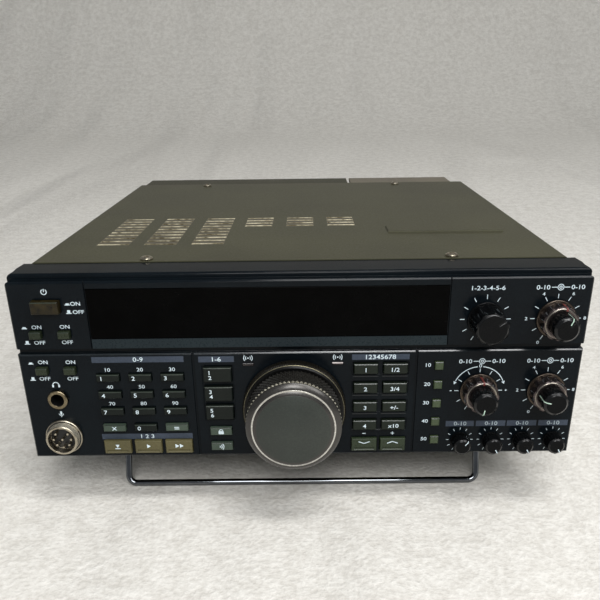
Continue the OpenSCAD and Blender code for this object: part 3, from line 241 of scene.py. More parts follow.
# The wide heat sink: the covers' paint over a rough casting, so it looks duller.
sink_enamel = finish("stove_enamel_on_cast_aluminium", "#353429", "#3f3d32", 1.2, 0.55, bump=0.05,
                     cloud=50.0, Specular_IOR_Level=0.15)
# The narrow heat sink: bare casting, weathered to a warm grey.
sink_bare = finish("weathered_cast_aluminium", "#625b4e", "#716959", 1.0, 0.5, bump=0.04,
                   metallic=0.3)
# Plate on turned parts and screws: a warm, slightly blurred mirror.
nickel = finish("bright_nickel_plate", "#948c7b", "#b5ad9c", 3.0, 0.3, 0.05, metallic=1.0)
# The same plate handled for years: darker and yellower.
nickel_dull = finish("handled_nickel_plate", "#5d5442", "#857a64", 2.0, 0.24, metallic=1.0)
# Fine threads and teeth: many small facets that scatter the light to a pale grey.
nickel_thread = finish("threaded_nickel_plate", "#a29d8d", "#c6c1b1", 1.2, 0.3, metallic=0.6)
# Chromium plate: a clear mirror, its colour darkened to stand in for the dark set and room it reflects, a painted
# dark reflection.
chrome_painted_dark = finish("chromium_plate_painted_dark_reflection", "#64676b", "#777a7d", 6.0, 0.06, 0.02, metallic=1.0)
# Plated sheet inside the set: plain grey metal.
zinc = finish("zinc_plated_sheet_steel", "#7d7f7b", "#949692", 3.0, 0.35, metallic=1.0)
# Film on the scalloped rings: a dark, clear mirror.
ring_film = finish("dark_metal_film_on_abs", "#474040", "#5a5150", 4.0, 0.14, 0.02, metallic=0.85)
# Their feet, where the film is thin: brown metal.
ring_bronze = finish("worn_bronze_edge", "#3d352e", "#524940", 4.0, 0.25, 0.03, metallic=0.85)
# Their front edges, rubbed the most: a pale line.
ring_silver = finish("worn_silver_edge", "#7a746b", "#938d83", 4.0, 0.22, 0.03, metallic=0.85)
# The dial's bezel: satin metal whose highlight spreads along the ring, its colour darkened for the dark room it
# reflects: a painted dark reflection.
bezel_satin_painted_dark = finish("satin_aluminium_painted_dark_reflection", "#3d3b39", "#484643", 0.5, 0.33, metallic=0.8,
                     Coat_Weight=0.4, Coat_Roughness=0.2)
# A fresh cut with a diamond tool: a thin bright line all round.
ring_bright = finish("diamond_turned_aluminium", "#b9b6ae", "#cbc8bf", 2.0, 0.25, metallic=0.4)
# The dial's face: an even dark grey with a broad, weak sheen.
face_lacquer = finish("satin_lacquer_dark_grey", "#2d312d", "#363a35", 0.8, 0.36, bump=0.004,
                      Specular_IOR_Level=0.35)
# The dial's skirt: brown black, glossy enough to show its ribs.
skirt_lacquer = finish("satin_lacquer_brown_black", "#171510", "#252119", 0.8, 0.3, metallic=0.4)
# The line above the skirt: dull old brass.
line_brass = finish("worn_brass_line", "#7d775f", "#9a937a", 1.0, 0.42, metallic=0.8)
# Rubber between the pips of the grip: black, with hardly any light coming back.
grip_rubber = finish("moulded_rubber_black", "#050505", "#0a0a09", 0.8, 0.33,
                     Specular_IOR_Level=0.2)
# The pips, rubbed by fingers: a dark grey pattern on the black.
knurl_rubber = finish("rubbed_rubber_black", "#171613", "#2a2824", 0.8, 0.3)
# Feet: matt, dusty dark grey.
foot_rubber = finish("moulded_rubber_grey_black", "#161617", "#222223", 0.8, 0.7, bump=0.02)
# Boards: dark green with a smooth lacquer gloss.
board_green = finish("solder_mask_on_glass_epoxy", "#1f3d27", "#2b4d33", 2.0, 0.35)
# The cloth over the speaker: a dull gold glimpsed through the slots.
speaker_cloth = finish("brass_toned_grille_cloth", "#4a452f", "#5f583c", 1.0, 0.6)
print("metals ready")

# %% [markdown]
# ### Inks and paints
# The panel's marks are screen printed: a thin film of ink whose tone is a little uneven. The
# pointers are paint run into a groove.

# %% Inks
# Marks and legends: a matt, cool white.
white_ink = finish("screen_ink_white", "#c3d2da", "#dcebf1", 0.8, 0.55)
# Marks on the small knobs' strips: the same ink, printed thinner.
dim_ink = finish("screen_ink_grey", "#98a5ab", "#adbac0", 0.8, 0.55)
# Strips over the groups of keys: a flat blue grey.
strip_ink = finish("screen_ink_blue_grey", "#343c47", "#404855", 0.8, 0.5, Specular_IOR_Level=0.2)
# The band under the window: slate, only a shade above the panel.
band_ink = finish("screen_ink_slate", "#1a2327", "#1e282c", 0.8, 0.3, Specular_IOR_Level=0.15)
# Pointers of the rings: dull red.
red_paint = finish("pointer_paint_red", "#5a2421", "#75332d", 0.8, 0.45)
# Pointers of the inner knobs: pale green.
pale_paint = finish("pointer_paint_pale_green", "#9fc0ad", "#c2d8c8", 0.8, 0.45)
print("inks ready")

# %% [markdown]
# ## Dressing the solids
# A solid from CAD has knife edges, and real mouldings and pressings never do. The cure is a copy
# of the solid with its loose triangles merged, a small bevel on every sharp edge, and smooth
# shading over the curves. The copy stands for the CAD node, which stays for the motion. A shader
# could fake the round edges, but then the mesh itself would stay sharp.

# %% Select, edit, copy and cut


def alone(piece):
    """Makes one object the only selected and active one."""
    bpy.ops.object.select_all(action="DESELECT")
    piece.select_set(True)
    bpy.context.view_layer.objects.active = piece


def edit(piece):
    """Enters edit mode on one piece with everything selected."""
    alone(piece)
    bpy.ops.object.mode_set(mode="EDIT")
    bpy.ops.mesh.select_all(action="SELECT")


def leave_edit():
    """Goes back to object mode."""
    bpy.ops.object.mode_set(mode="OBJECT")


def merged_copy(node):
    """A copy of a CAD node's mesh with its triangles joined and its flat faces made whole."""
    piece = bpy.data.objects.new(node + "_finished", frame["nodes"][node].data.copy())
    bpy.context.scene.collection.objects.link(piece)
    edit(piece)
    bpy.ops.mesh.remove_doubles(threshold=1e-6)
    bpy.ops.mesh.dissolve_limited(angle_limit=math.radians(0.3))
    leave_edit()
    return piece


def cut(spot, normal):
    """In edit mode, cuts the selected faces by a plane given on the drawing board."""
    bpy.ops.mesh.bisect(plane_co=STAND_MM @ Vector(spot), plane_no=LEAN.to_3x3() @ Vector(normal))


print("copy helpers ready")

# %% [markdown]
# A bevel modifier rounds every edge that is sharper than a limit, and weighted normals keep the
# flat faces flat beside it. Afterwards single faces can get another finish, chosen by their
# place and by the way they face. That is how wear is put where hands rub, and how painted
# highlights are put on the edges that face the lamp.

# %% Soften, paint and present
BEVEL_ABOVE = math.radians(32)
SMOOTH_BELOW = math.radians(40)


def soften(piece, width):
    """Bevels the sharp edges of a piece by a width in millimetres and smooths its curves."""
    alone(piece)
    if width:
        bevel = piece.modifiers.new("edge_break", "BEVEL")
        bevel.width = width * MM
        bevel.segments = 2
        bevel.limit_method = "ANGLE"
        bevel.angle_limit = BEVEL_ABOVE
        bevel.use_clamp_overlap = False
        bpy.ops.object.modifier_apply(modifier=bevel.name)
    bpy.ops.object.shade_smooth_by_angle(angle=SMOOTH_BELOW)
    weigh = piece.modifiers.new("flat_faces", "WEIGHTED_NORMAL")
    weigh.keep_sharp = True
    bpy.ops.object.modifier_apply(modifier=weigh.name)


def paint(piece, *materials):
    """Gives a piece its finishes, the first of them all over."""
    piece.data.materials.clear()
    for material in materials:
        piece.data.materials.append(material)
    for face in piece.data.polygons:
        face.material_index = 0


def present(piece, node, width, *materials):
    """Softens and finishes a copy of a CAD node and lets it stand for the node."""
    soften(piece, width)
    paint(piece, *materials)
    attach(piece, body_of[node])
    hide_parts(node)
    return piece


def dress(node, width, *materials):
    """A softened copy of a CAD node that stands for it."""
    return present(merged_copy(node), node, width, *materials)


def repaint(piece, index, test):
    """Gives another finish to the faces whose level place and normal pass a test."""
    count = 0
    for face in piece.data.polygons:
        if test(TO_LEVEL @ face.center, TO_LEVEL_TURN @ face.normal):
            face.material_index = index
            count += 1
    print(piece.name, "repainted", count)


def upper_edge(normal):
    """True on a bevel that faces both forwards and up."""
    return normal.y < -0.35 and normal.z > 0.35


print("dress helpers ready")

# %% [markdown]
# ### Plain solids
# The boards, the chassis and the speaker are inside, so their solids only get a finish. The
# panel's upper edges get a paler, glossier finish where they face the lamp: a painted highlight.
# The right lens gets a painted highlight, a pale band along its upper half, so the lenses are
# cut at that height first.

# %% Plain solids
for node, material in (("control_board", board_green), ("main_board", board_green),
                       ("chassis", zinc), ("speaker", speaker_cloth)):
    paint(frame["nodes"][node], material)
# Height above which the right lens gets its painted highlight.
HIGHLIGHT_Z = 49.95
lenses = merged_copy("indicator_lenses")
edit(lenses)
cut((0, 0, HIGHLIGHT_Z), (0, 0, 1))
leave_edit()
present(lenses, "indicator_lenses", 0.0, lens_dark, lens_painted_highlight)
# The right lens's upper half gets the painted highlight.
repaint(lenses, 1, lambda spot, normal: spot.x > 0 and spot.z > HIGHLIGHT_Z)
panel = dress("front_panel", 0.12, panel_abs, panel_painted_highlight)
# Bevels that face forwards and up, towards the lamp, get the painted highlight.
repaint(panel, 1, lambda spot, normal: upper_edge(normal) and (spot.z < 20 or 51 < spot.z < 88))
# The bail's chromium plate is darkened: a painted dark reflection.
for node, width, material in (
        ("display_window", 0.1, window_acrylic), ("bottom_cover", 0.15, cover_enamel),
        ("heat_sink_wide", 0.3, sink_enamel), ("heat_sink_narrow", 0.3, sink_bare),
        ("feet", 0.6, foot_rubber), ("bail", 0.0, chrome_painted_dark), ("cover_screws", 0.1, nickel)):
    dress(node, width, material)
print("plain solids dressed")

# %% [markdown]
# ## The top cover
# The vents are six fields of pressed slots. The walls and rounded edges of the slots get a warm
# brass tone with pale patches, which are painted glints, and the bars between them are browner
# than the rest of the top. The flat top is cut along the borders of the fields, so that the bars
# are faces of their own. Then the brass finish with its painted glints goes to the walls and
# rounded edges of the slots and the browner one to the bars, found by their place.

# %% Top cover
VENT_END = 126.5
vent_fields = [(x - 8.6, x + 8.6, 53.5, VENT_END) for x in (-73.1 - 24.85, -73.1, -73.1 + 24.85)]
vent_fields += [(x - 8.1, x + 8.1, 98.5, VENT_END) for x in (-24.05, 0.0, 24.05)]
TOP_ABOVE = 90


def choose(piece, kind, test):
    """In edit mode, selects the vertices, edges or faces that pass a test."""
    bpy.ops.mesh.select_mode(type=kind)
    bpy.ops.mesh.select_all(action="DESELECT")
    leave_edit()
    data = piece.data
    for item in {"VERT": data.vertices, "EDGE": data.edges, "FACE": data.polygons}[kind]:
        item.select = test(item)
    bpy.ops.object.mode_set(mode="EDIT")


def in_vent(spot):
    """True inside one of the six fields on the top."""
    return spot.z > TOP_ABOVE and any(x0 < spot.x < x1 and y0 < spot.y < y1
                                      for x0, x1, y0, y1 in vent_fields)


def on_top(face):
    """True on the flat top of the cover."""
    return face.normal.z > 0.9 and (TO_LEVEL @ face.center).z > TOP_ABOVE


top_cover = merged_copy("top_cover")
edit(top_cover)
borders = {(x, 0) for field in vent_fields for x in field[:2]}
borders |= {(0, y) for field in vent_fields for y in field[2:]}
for x, y in sorted(borders):
    choose(top_cover, "FACE", on_top)
    cut((x, y, 95), (x != 0, x == 0, 0))
leave_edit()
present(top_cover, "top_cover", 0.18, cover_enamel, vent_brass_painted_glints, vent_enamel)
# Walls and edges of the slots: the brass tone with painted glints.
repaint(top_cover, 1, lambda spot, normal: abs(normal.z) < 0.97 and in_vent(spot))
repaint(top_cover, 2, lambda spot, normal: abs(normal.z) >= 0.97 and in_vent(spot))

# %% [markdown]
# ## Sockets
# The headphone jack and the microphone socket are turned and plated. Only the floor of the
# microphone socket and the bore of the jack are black, so those faces get another finish.

# %% Sockets
PHONES = (-119.2, 32.7)
MIC = (-119.2, 12.2)


def off_axis(spot, middle):
    """How far a place lies from the axis of a round piece on the panel."""
    return math.hypot(spot.x - middle[0], spot.z - middle[1])


phones = dress("phones_jack", 0.12, nickel_dull, socket_black)
repaint(phones, 1, lambda spot, normal: spot.y > -1.9 and off_axis(spot, PHONES) < 3.4)
mic = dress("mic_connector", 0.12, nickel, socket_black, nickel_thread)
repaint(mic, 1, lambda spot, normal: -2.0 < spot.y < 0.5 and abs(normal.y) > 0.9
        and off_axis(spot, MIC) < 6.6)
repaint(mic, 2, lambda spot, normal: abs(normal.y) < 0.5 and 1.8 < -spot.y < 5.6
        and off_axis(spot, MIC) > 7.5)
rear = dress("rear_connectors", 0.2, socket_black, nickel)
repaint(rear, 1, lambda spot, normal: spot.x > 50)

# %% [markdown]
# ## Keys and push switches
# The caps are separate mouldings that stand out of the panel. Their front edges are rounded by
# wear, and their upper edges get a glossier finish where they face the lamp: a painted highlight.
# The two outer keys in the bottom row of the keypad are paler than the number keys. Caps with a
# fine groove keep their edges, because a bevel would close the groove, and get no painted highlight.

# %% Keys
FUNCTIONS = ["function_key_%d" % (i + 1) for i in range(8)]
finish_of = {"switch_olive": switch_olive, "key_khaki": key_khaki, "key_pale": key_side_green,
             "key_grey_green": key_grey_green, "key_charcoal": key_charcoal}
special = {"power_button": power_brown, "down_key": key_dark_green, "up_key": key_dark_green}
special.update({node: key_black_green for node in FUNCTIONS})
caps = [node for node in frame["nodes"] if slot_of[node] in finish_of]
for node in caps:
    grooved = node in ("down_key", "up_key") or node.startswith("memory_key")
    main = special.get(node, finish_of[slot_of[node]])
    cap = dress(node, 0.0 if grooved else 0.12, main, key_grey_green, key_painted_highlight)
    if node in ("keypad_column_1", "keypad_column_3"):
        repaint(cap, 1, lambda spot, normal: spot.z < 20)
    if not grooved:
        # The painted highlight on the upper bevels that face the lamp.
        repaint(cap, 2, lambda spot, normal: upper_edge(normal))
print("keys", len(caps))

# %% [markdown]
# ## Knobs and rings
# The small knobs and the inner knobs are fluted black mouldings. The outer rings carry the metal
# film: worn bronze on the foot, dark on the scalloped side and silver round the front edge. One
# solid carries all three, so the finish is chosen face by face from the place on the ring.

# %% Knobs and rings
LEFT_X, RIGHT_X = 87.1, 119.9
HIGH_Z, LOW_Z, TRIM_Z = 71.4, 34.8, 7.7
DOUBLES = (("notch_ring", "squelch_knob", RIGHT_X, HIGH_Z, 15, 24),
           ("shift_ring", "offset_knob", LEFT_X, LOW_Z, 3, -170),
           ("gain_ring", "volume_knob", RIGHT_X, LOW_Z, 150, -78))
TRIMS = (("delay_knob", 80.0, 42), ("carrier_knob", 95.5, 150), ("output_knob", 111.0, 150),
         ("mic_gain_knob", 126.5, 150))
CHANNEL_L, INNER_L, TRIM_L = 15.6, 17.6, 8.9
TOUCHED = 1.3


def polish(node, width, length):
    """Dresses a knob, and lets the bevel and flutes of its front shine where fingers touch."""
    knob = dress(node, width, knob_black, knob_edge)
    repaint(knob, 1, lambda spot, normal: -spot.y > length - TOUCHED and normal.y > -0.97)


polish("channel_knob", 0.15, CHANNEL_L)
for ring, knob, x, z, ring_turn, knob_turn in DOUBLES:
    polish(knob, 0.1, INNER_L)
    piece = dress(ring, 0.12, ring_film, ring_bronze, ring_silver)
    repaint(piece, 1, lambda spot, normal: 0.7 < -spot.y < 1.85)
    repaint(piece, 2, lambda spot, normal: -spot.y > 8.55 and off_axis(spot, (x, z)) > 6.35)
for knob, x, turn in TRIMS:
    polish(knob, 0.1, TRIM_L)
print("knobs", 1 + 2 * len(DOUBLES) + len(TRIMS))

# %% [markdown]
# ## Drawing new pieces
# New pieces start from a primitive at the origin of the drawing board and are shaped in edit
# mode. Small flat marks are slabs with round corners, like a film of ink that has crept a little.

# %% Start, shape and close
INK = 0.06


def start(operator, **settings):
    """Adds a primitive with nothing else selected."""
    bpy.ops.object.select_all(action="DESELECT")
    operator(**settings)
    return bpy.context.object


def extrude(*way):
    """In edit mode, extrudes what is selected."""
    bpy.ops.mesh.extrude_region_move(TRANSFORM_OT_translate={"value": way})


def close_up():
    """In edit mode, turns all faces outwards and goes back to object mode."""
    bpy.ops.mesh.select_all(action="SELECT")
    bpy.ops.mesh.normals_make_consistent(inside=False)
    leave_edit()


def round_corners(piece, r, segments):
    """In edit mode, bevels the edges that stand up from a flat piece."""
    def stands(edge):
        one, other = (piece.data.vertices[v].co.z for v in edge.vertices)
        return abs(one - other) > 1e-6

    choose(piece, "EDGE", stands)
    bpy.ops.mesh.bevel(offset=r, segments=segments, affect="EDGES")
    leave_edit()


def slab(w, h, r=0.1):
    """A film of ink with round corners, in millimetres, lying in x and y."""
    piece = start(bpy.ops.mesh.primitive_cube_add, size=1)
    edit(piece)
    bpy.ops.transform.resize(value=(w, h, INK))
    round_corners(piece, r, 2)
    return piece


print("drawing helpers ready")

# %% [markdown]
# A drawn piece is put in its place on the drawing board, and pieces that belong together are
# joined. One `settle` then leans the piece back with the set, applies its place and lets it ride
# on the body that carries it, so that it moves with that body.

# %% Copy, put, join and settle


def copy_of(piece, place):
    """A copy with its own mesh at a place on the drawing board."""
    twin = bpy.data.objects.new(piece.name, piece.data.copy())
    bpy.context.scene.collection.objects.link(twin)
    return put(twin, place @ piece.matrix_world)


def put(piece, place):
    """Moves a piece to a place on the drawing board."""
    piece.matrix_world = place @ piece.matrix_world
    return piece


def joined(name, pieces):
    """Joins pieces into one object."""
    bpy.ops.object.select_all(action="DESELECT")
    for piece in pieces:
        piece.select_set(True)
    bpy.context.view_layer.objects.active = pieces[0]
    if len(pieces) > 1:
        bpy.ops.object.join()
    pieces[0].name = name
    return pieces[0]


def apply_place():
    """Moves the place of the selected piece into its mesh."""
    bpy.ops.object.transform_apply(location=True, rotation=True, scale=True)


def settle(piece, body, slot, *materials, angle=35.0):
    """Leans a drawn piece back with the set, finishes it and lets it ride on its body."""
    put(piece, STAND_MM)
    alone(piece)
    apply_place()
    bpy.ops.object.shade_smooth_by_angle(angle=math.radians(angle))
    paint(piece, *materials)
    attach(piece, body)
    return piece


print("placing helpers ready")

# %% [markdown]
# ## Pointers
# Each knob shows where it stands by a painted line: down its side and over its face. The line is
# a bent strip: a small plane is extruded up the side, over the bevel and inwards, at each knob's
# own angle. A decal would need an image, and this strip is part of the mesh itself.

# %% Pointers
LINE_DEPTH = 0.16
RING_LINE = {"r": 7.74, "foot": 1.75, "top": 8.15, "slope": 0.6, "face_in": 0.7, "width": 0.95}
INNER_LINE = {"r": 5.75, "foot": 9.4, "top": 16.5, "slope": 1.0, "face_in": 2.1, "width": 0.45}
TRIM_LINE = {"r": 4.2, "foot": 2.2, "top": 8.15, "slope": 0.7, "face_in": 1.7, "width": 0.42}


def pointer(knob, x, z, turn, slot, material, r, foot, top, slope, face_in, width):
    """A painted line: up a knob's side from foot to top, over the bevel and in on the face."""
    piece = start(bpy.ops.mesh.primitive_plane_add, size=1)
    edit(piece)
    bpy.ops.transform.resize(value=(width, LINE_DEPTH, 1))
    bpy.ops.transform.translate(value=(0, r, foot))
    extrude(0, 0, top - foot)
    extrude(0, -slope, slope)
    extrude(0, 0, LINE_DEPTH)
    choose(piece, "FACE", lambda face: face.normal.y < -0.9 and face.center.z > top + slope)
    extrude(0, -face_in, 0)
    close_up()
    piece.name = knob + "_pointer"
    return settle(put(piece, on_panel(x, z, turn)), knob, slot, material)


for ring, knob, x, z, ring_turn, knob_turn in DOUBLES:
    pointer(ring, x, z, ring_turn, "ring_bronze", red_paint, **RING_LINE)
    pointer(knob, x, z, knob_turn, "knob_black", pale_paint, **INNER_LINE)
for knob, x, turn in TRIMS:
    pointer(knob, x, TRIM_Z, turn, "knob_black", white_ink, **TRIM_LINE)
print("pointers painted")

# %% [markdown]
# ## Turning on the lathe
# The dial is a stack of turned parts. Each starts as a filled circle that is extruded ring by
# ring, as a potter raises a wall. From the panel outwards come a skirt with fine ribs, a thin
# worn brass line, a rubber grip with a diamond knurl, a groove, a satin aluminium bezel, a bright
# turned ring, a satin chamfer and a plain lacquered face.

# %% Dial: turned parts
DIAL_PLACE = on_panel(*DIAL)


def lathe(name, profile, sides=128):
    """A closed turned piece from (radius, height) steps, in millimetres about the z axis."""
    (r, h), *steps = profile
    piece = start(bpy.ops.mesh.primitive_circle_add, vertices=sides, radius=r, fill_type="NGON")
    piece.name = name
    edit(piece)
    bpy.ops.transform.translate(value=(0, 0, h))
    for next_r, next_h in steps:
        extrude(0, 0, next_h - h)
        bpy.ops.transform.resize(value=(next_r / r, next_r / r, 1), center_override=(0, 0, next_h))
        r, h = next_r, next_h
    close_up()
    return piece


def on_dial(piece, material, angle=35.0):
    """Settles a piece that is drawn about the dial's axis."""
    return settle(put(piece, DIAL_PLACE), "tuning_dial", "dial_satin", material, angle=angle)


# The bezel and its chamfer carry the darkened satin metal: a painted dark reflection.
for name, material, profile in (
        ("dial_line", line_brass, [(24.3, 5.8), (24.6, 5.95), (24.6, 6.15), (24.45, 6.3)]),
        ("dial_collar", grip_rubber, [(24.4, 6.2), (24.4, 6.45), (23.6, 7.2), (23.2, 7.2)]),
        ("dial_core", grip_rubber, [(3.0, -10.4), (3.0, 1.0), (22.05, 1.0), (22.05, 20.9),
                                    (21.7, 21.0), (21.7, 21.95)]),
        ("dial_bezel", bezel_satin_painted_dark, [(21.7, 21.85), (22.35, 21.9), (22.6, 22.1), (22.6, 22.4),
                                     (22.45, 22.65), (20.2, 24.15), (20.05, 24.15)]),
        ("dial_ring", ring_bright, [(19.82, 24.0), (19.82, 24.4), (19.74, 24.5), (19.56, 24.5),
                                    (19.48, 24.45)]),
        ("dial_chamfer", bezel_satin_painted_dark, [(19.2, 24.2), (19.2, 24.4), (17.75, 25.3), (17.6, 25.3)]),
        ("dial_face", face_lacquer, [(17.55, 25.0), (17.55, 25.33), (17.45, 25.4)])):
    on_dial(lathe(name, profile), material)
print("dial turned")

# %% [markdown]
# The skirt's ribs come from a fine-sided turned piece in which every second column of points is
# pulled in. A bump would give the same shading, but not the rough outline against the panel.

# %% Dial: ribbed skirt
SKIRT_SIDES = 360
FURROW = 0.986
skirt = lathe("dial_skirt", [(24.9, 0.8), (25.4, 1.1), (25.4, 4.6), (25.0, 5.2), (24.3, 5.8)],
              SKIRT_SIDES)
edit(skirt)


def in_furrow(point):
    """True on every second column of the skirt's side."""
    angle = math.degrees(math.atan2(point.co.y, point.co.x)) % 360
    return round(angle * SKIRT_SIDES / 360) % 2 == 0 and 1.0 < point.co.z < 5.3


choose(skirt, "VERT", in_furrow)
bpy.ops.transform.resize(value=(FURROW, FURROW, 1), center_override=(0, 0, 0))
leave_edit()
on_dial(skirt, skirt_lacquer, angle=20.0)
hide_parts("tuning_dial")
print("skirt ribs", SKIRT_SIDES // 2)

# %% [markdown]
# The knurl is one small blunt pyramid. It is spun round the dial to make a row, and the row is
# copied along the grip, each second row turned by half a step. The last row, at the front, is a
# bright toothed edge.

# %% Dial: knurl
PIPS = 72
ROWS = 8
ROW_STEP = 1.5
FIRST_ROW = 8.4
TEETH_AT = 20.4
PIP_R = 22.4
PIP_DEPTH = 0.7


def along_dial(h):
    """A shift along the dial's axis."""
    return Matrix.Translation((0, 0, h))


def knurl_row(height, width):
    """A ring of blunt pyramids round the grip, each a diamond of a half height and half width."""
    row = start(bpy.ops.mesh.primitive_cone_add, vertices=4, radius1=1.0, radius2=0.35,
                depth=PIP_DEPTH)
    row.matrix_world = (Matrix.Translation((PIP_R, 0, 0))
                        @ Matrix.Rotation(math.radians(90), 4, "Y")
                        @ Matrix.Diagonal((height, width, 1, 1)))
    apply_place()
    edit(row)
    bpy.ops.mesh.spin(steps=PIPS - 1, dupli=True, angle=2 * math.pi * (PIPS - 1) / PIPS,
                      center=(0, 0, 0), axis=(0, 0, 1))
    close_up()
    return row


row = knurl_row(1.2, 0.8)
rows = []
for i in range(ROWS):
    half_step = Matrix.Rotation(math.pi / PIPS * (i % 2), 4, "Z")
    rows.append(copy_of(row, along_dial(FIRST_ROW + i * ROW_STEP) @ half_step))
bpy.data.objects.remove(row)
on_dial(joined("dial_knurl", rows), knurl_rubber, angle=10.0)
teeth = put(knurl_row(1.25, 0.9), along_dial(TEETH_AT))
teeth.name = "dial_teeth"
on_dial(teeth, nickel_thread, angle=10.0)
print("knurl pips", PIPS * ROWS, "front teeth", PIPS)

# %% [markdown]
# ## Print on the panel
# The marks are a film of ink on the plastic. Numbers and plain signs come from Blender's text,
# made a mesh and fitted to the height that the photograph shows. Ticks, arcs and strips are
# slabs. Everything of one ink is joined to one piece.

# %% Print helpers
LIFT = 0.01
WIDE = 1.2


def write(text, x, z, h, out=0.0):
    """Widened text made a mesh, fitted to a height and centred at a place on the panel."""
    piece = start(bpy.ops.object.text_add)
    piece.data.body = text
    piece.data.extrude = INK / 2
    piece.data.offset = 0.008
    piece.data.resolution_u = 3
    bpy.ops.object.convert(target="MESH")
    piece = bpy.context.object
    low = Vector(min(v.co[i] for v in piece.data.vertices) for i in range(3))
    high = Vector(max(v.co[i] for v in piece.data.vertices) for i in range(3))
    size = h / (high.y - low.y)
    fit = Matrix.Diagonal((WIDE * size, size, 1, 1)) @ Matrix.Translation(-(low + high) / 2)
    return put(piece, on_panel(x, z, 0, out + LIFT) @ fit)


def bar(x, z, w, h, turn=0.0, out=0.0, r=0.1):
    """A flat mark of a width and height, turned clockwise."""
    return put(slab(w, h, min(r, w * 0.4, h * 0.4)), on_panel(x, z, turn, out + LIFT))


def arc(x, z, r, width, first, last, out=0.0):
    """A flat arc about a place, from one clockwise angle to another, spun from a short edge."""
    piece = start(bpy.ops.mesh.primitive_plane_add, size=1)
    edit(piece)
    bpy.ops.transform.resize(value=(width, INK, 1))
    leave_edit()
    piece.matrix_world = (Matrix.Rotation(math.radians(90 - first), 4, "Z")
                          @ Matrix.Translation((r, 0, 0))
                          @ Matrix.Rotation(math.radians(90), 4, "X"))
    apply_place()
    edit(piece)
    sweep = last - first
    bpy.ops.mesh.spin(steps=max(6, round(abs(sweep) / 6)), angle=math.radians(sweep),
                      center=(0, 0, 0), axis=(0, 0, 1))
    bpy.ops.mesh.select_all(action="SELECT")
    bpy.ops.mesh.remove_doubles(threshold=1e-4)
    close_up()
    return put(piece, on_panel(x, z, 0, out + LIFT))


def arrow(x, z, size, turn=0.0, out=0.0):
    """A flat triangle that points up before it is turned clockwise."""
    piece = start(bpy.ops.mesh.primitive_cylinder_add, vertices=3, radius=size * 0.58, depth=INK)
    edit(piece)
    round_corners(piece, size * 0.05, 1)
    return put(piece, on_panel(x, z, turn, out + LIFT))


def around(x, z, r, turn):
    """The place at a radius and a clockwise angle about a knob."""
    return x + r * math.sin(math.radians(turn)), z + r * math.cos(math.radians(turn))


def printed(name, pieces, ink):
    """Joins marks on the panel to one piece of print."""
    settle(joined(name, pieces), "case", "panel_moulding", ink)
    print(name, len(pieces))


print("print helpers ready")

# %% [markdown]
# ### Strips
# Paler strips head the groups of keys and small knobs, and a bare band runs under the window.
# Under the rows of function keys the lower edge of the pocket catches the lamp. It is too thin for
# the solid, so its highlight is drawn like the strips, as thin bars in the panel's paler, glossier
# finish: a painted highlight.

# %% Strips
FUNCTION_X = (31.7, 46.0)
FUNCTION_STEP = 10.07
printed("print_strips", [bar((x0 + x1) / 2, (z0 + z1) / 2, x1 - x0, z1 - z0) for x0, x1, z0, z1 in (
    (-100.3, -56.0, 51.5, 54.5), (-100.5, -54.8, 9.9, 12.9), (-48.9, -31.8, 51.2, 54.2),
    (25.0, 52.6, 51.6, 54.4), (72.5, 86.6, 15.2, 18.2), (87.6, 102.3, 15.2, 18.2),
    (103.1, 117.8, 15.2, 18.2), (118.8, 133.5, 15.2, 18.2))], strip_ink)
# Painted highlights under the rows of function keys.
printed("pocket_edge_painted_highlights", [bar(x, 42.9 - FUNCTION_STEP * i, 12.4, 0.3)
                        for x in FUNCTION_X for i in range(3)], panel_painted_highlight)
printed("print_band", [bar(-14.4, 61.15, 168.6, 4.7)], band_ink)

# %% [markdown]
# ### Scales round the knobs
# Each knob has eleven ticks, thirty degrees apart. One tick is drawn and copied. The double
# controls have numbers, except the one that works about a middle: it has an arc with two arrows.

# %% Scales
NUMBERED = ((RIGHT_X, HIGH_Z), (RIGHT_X, LOW_Z))
MIDDLE = (LEFT_X, LOW_Z)
marks = []


def tick_ring(x, z, r0, r1, width):
    """Eleven ticks about a knob, between two radii."""
    tick = slab(width, r1 - r0)
    for turn in range(-150, 151, 30):
        marks.append(copy_of(tick, on_panel(*around(x, z, (r0 + r1) / 2, turn), turn, LIFT)))
    bpy.data.objects.remove(tick)


for x, z, r1 in ((LEFT_X, HIGH_Z, 11.9), (RIGHT_X, HIGH_Z, 11.9), (*MIDDLE, 11.7),
                 (RIGHT_X, LOW_Z, 11.9)):
    tick_ring(x, z, 9.7, r1, 0.32)
for knob, x, turn in TRIMS:
    tick_ring(x, TRIM_Z, 5.5, 6.8, 0.26)
for x, z in NUMBERED:
    for i, turn in enumerate(range(-150, 151, 60)):
        marks.append(write(str(2 * i), *around(x, z, 13.7 if turn < 150 else 12.9, turn), 1.55))
marks += [write("0", *around(*MIDDLE, 13.0, 0), 1.75), bar(73.6, LOW_Z, 1.0, 0.35),
          bar(100.6, LOW_Z, 1.0, 0.35), bar(100.6, LOW_Z, 0.35, 1.0)]
for side in (-1, 1):
    marks += [arc(*MIDDLE, 12.6, 0.4, 6 * side, 66 * side),
              arrow(*around(*MIDDLE, 12.6, 70 * side), 1.7, 160 * side)]
print("scale marks", len(marks))

# %% [markdown]
# ### Signs over the controls
# The double controls have the common sign for two knobs on one axis. Switches show a low and a
# high button with ON and OFF, the sockets show headphones and a microphone, and the rest have
# plain numbers.

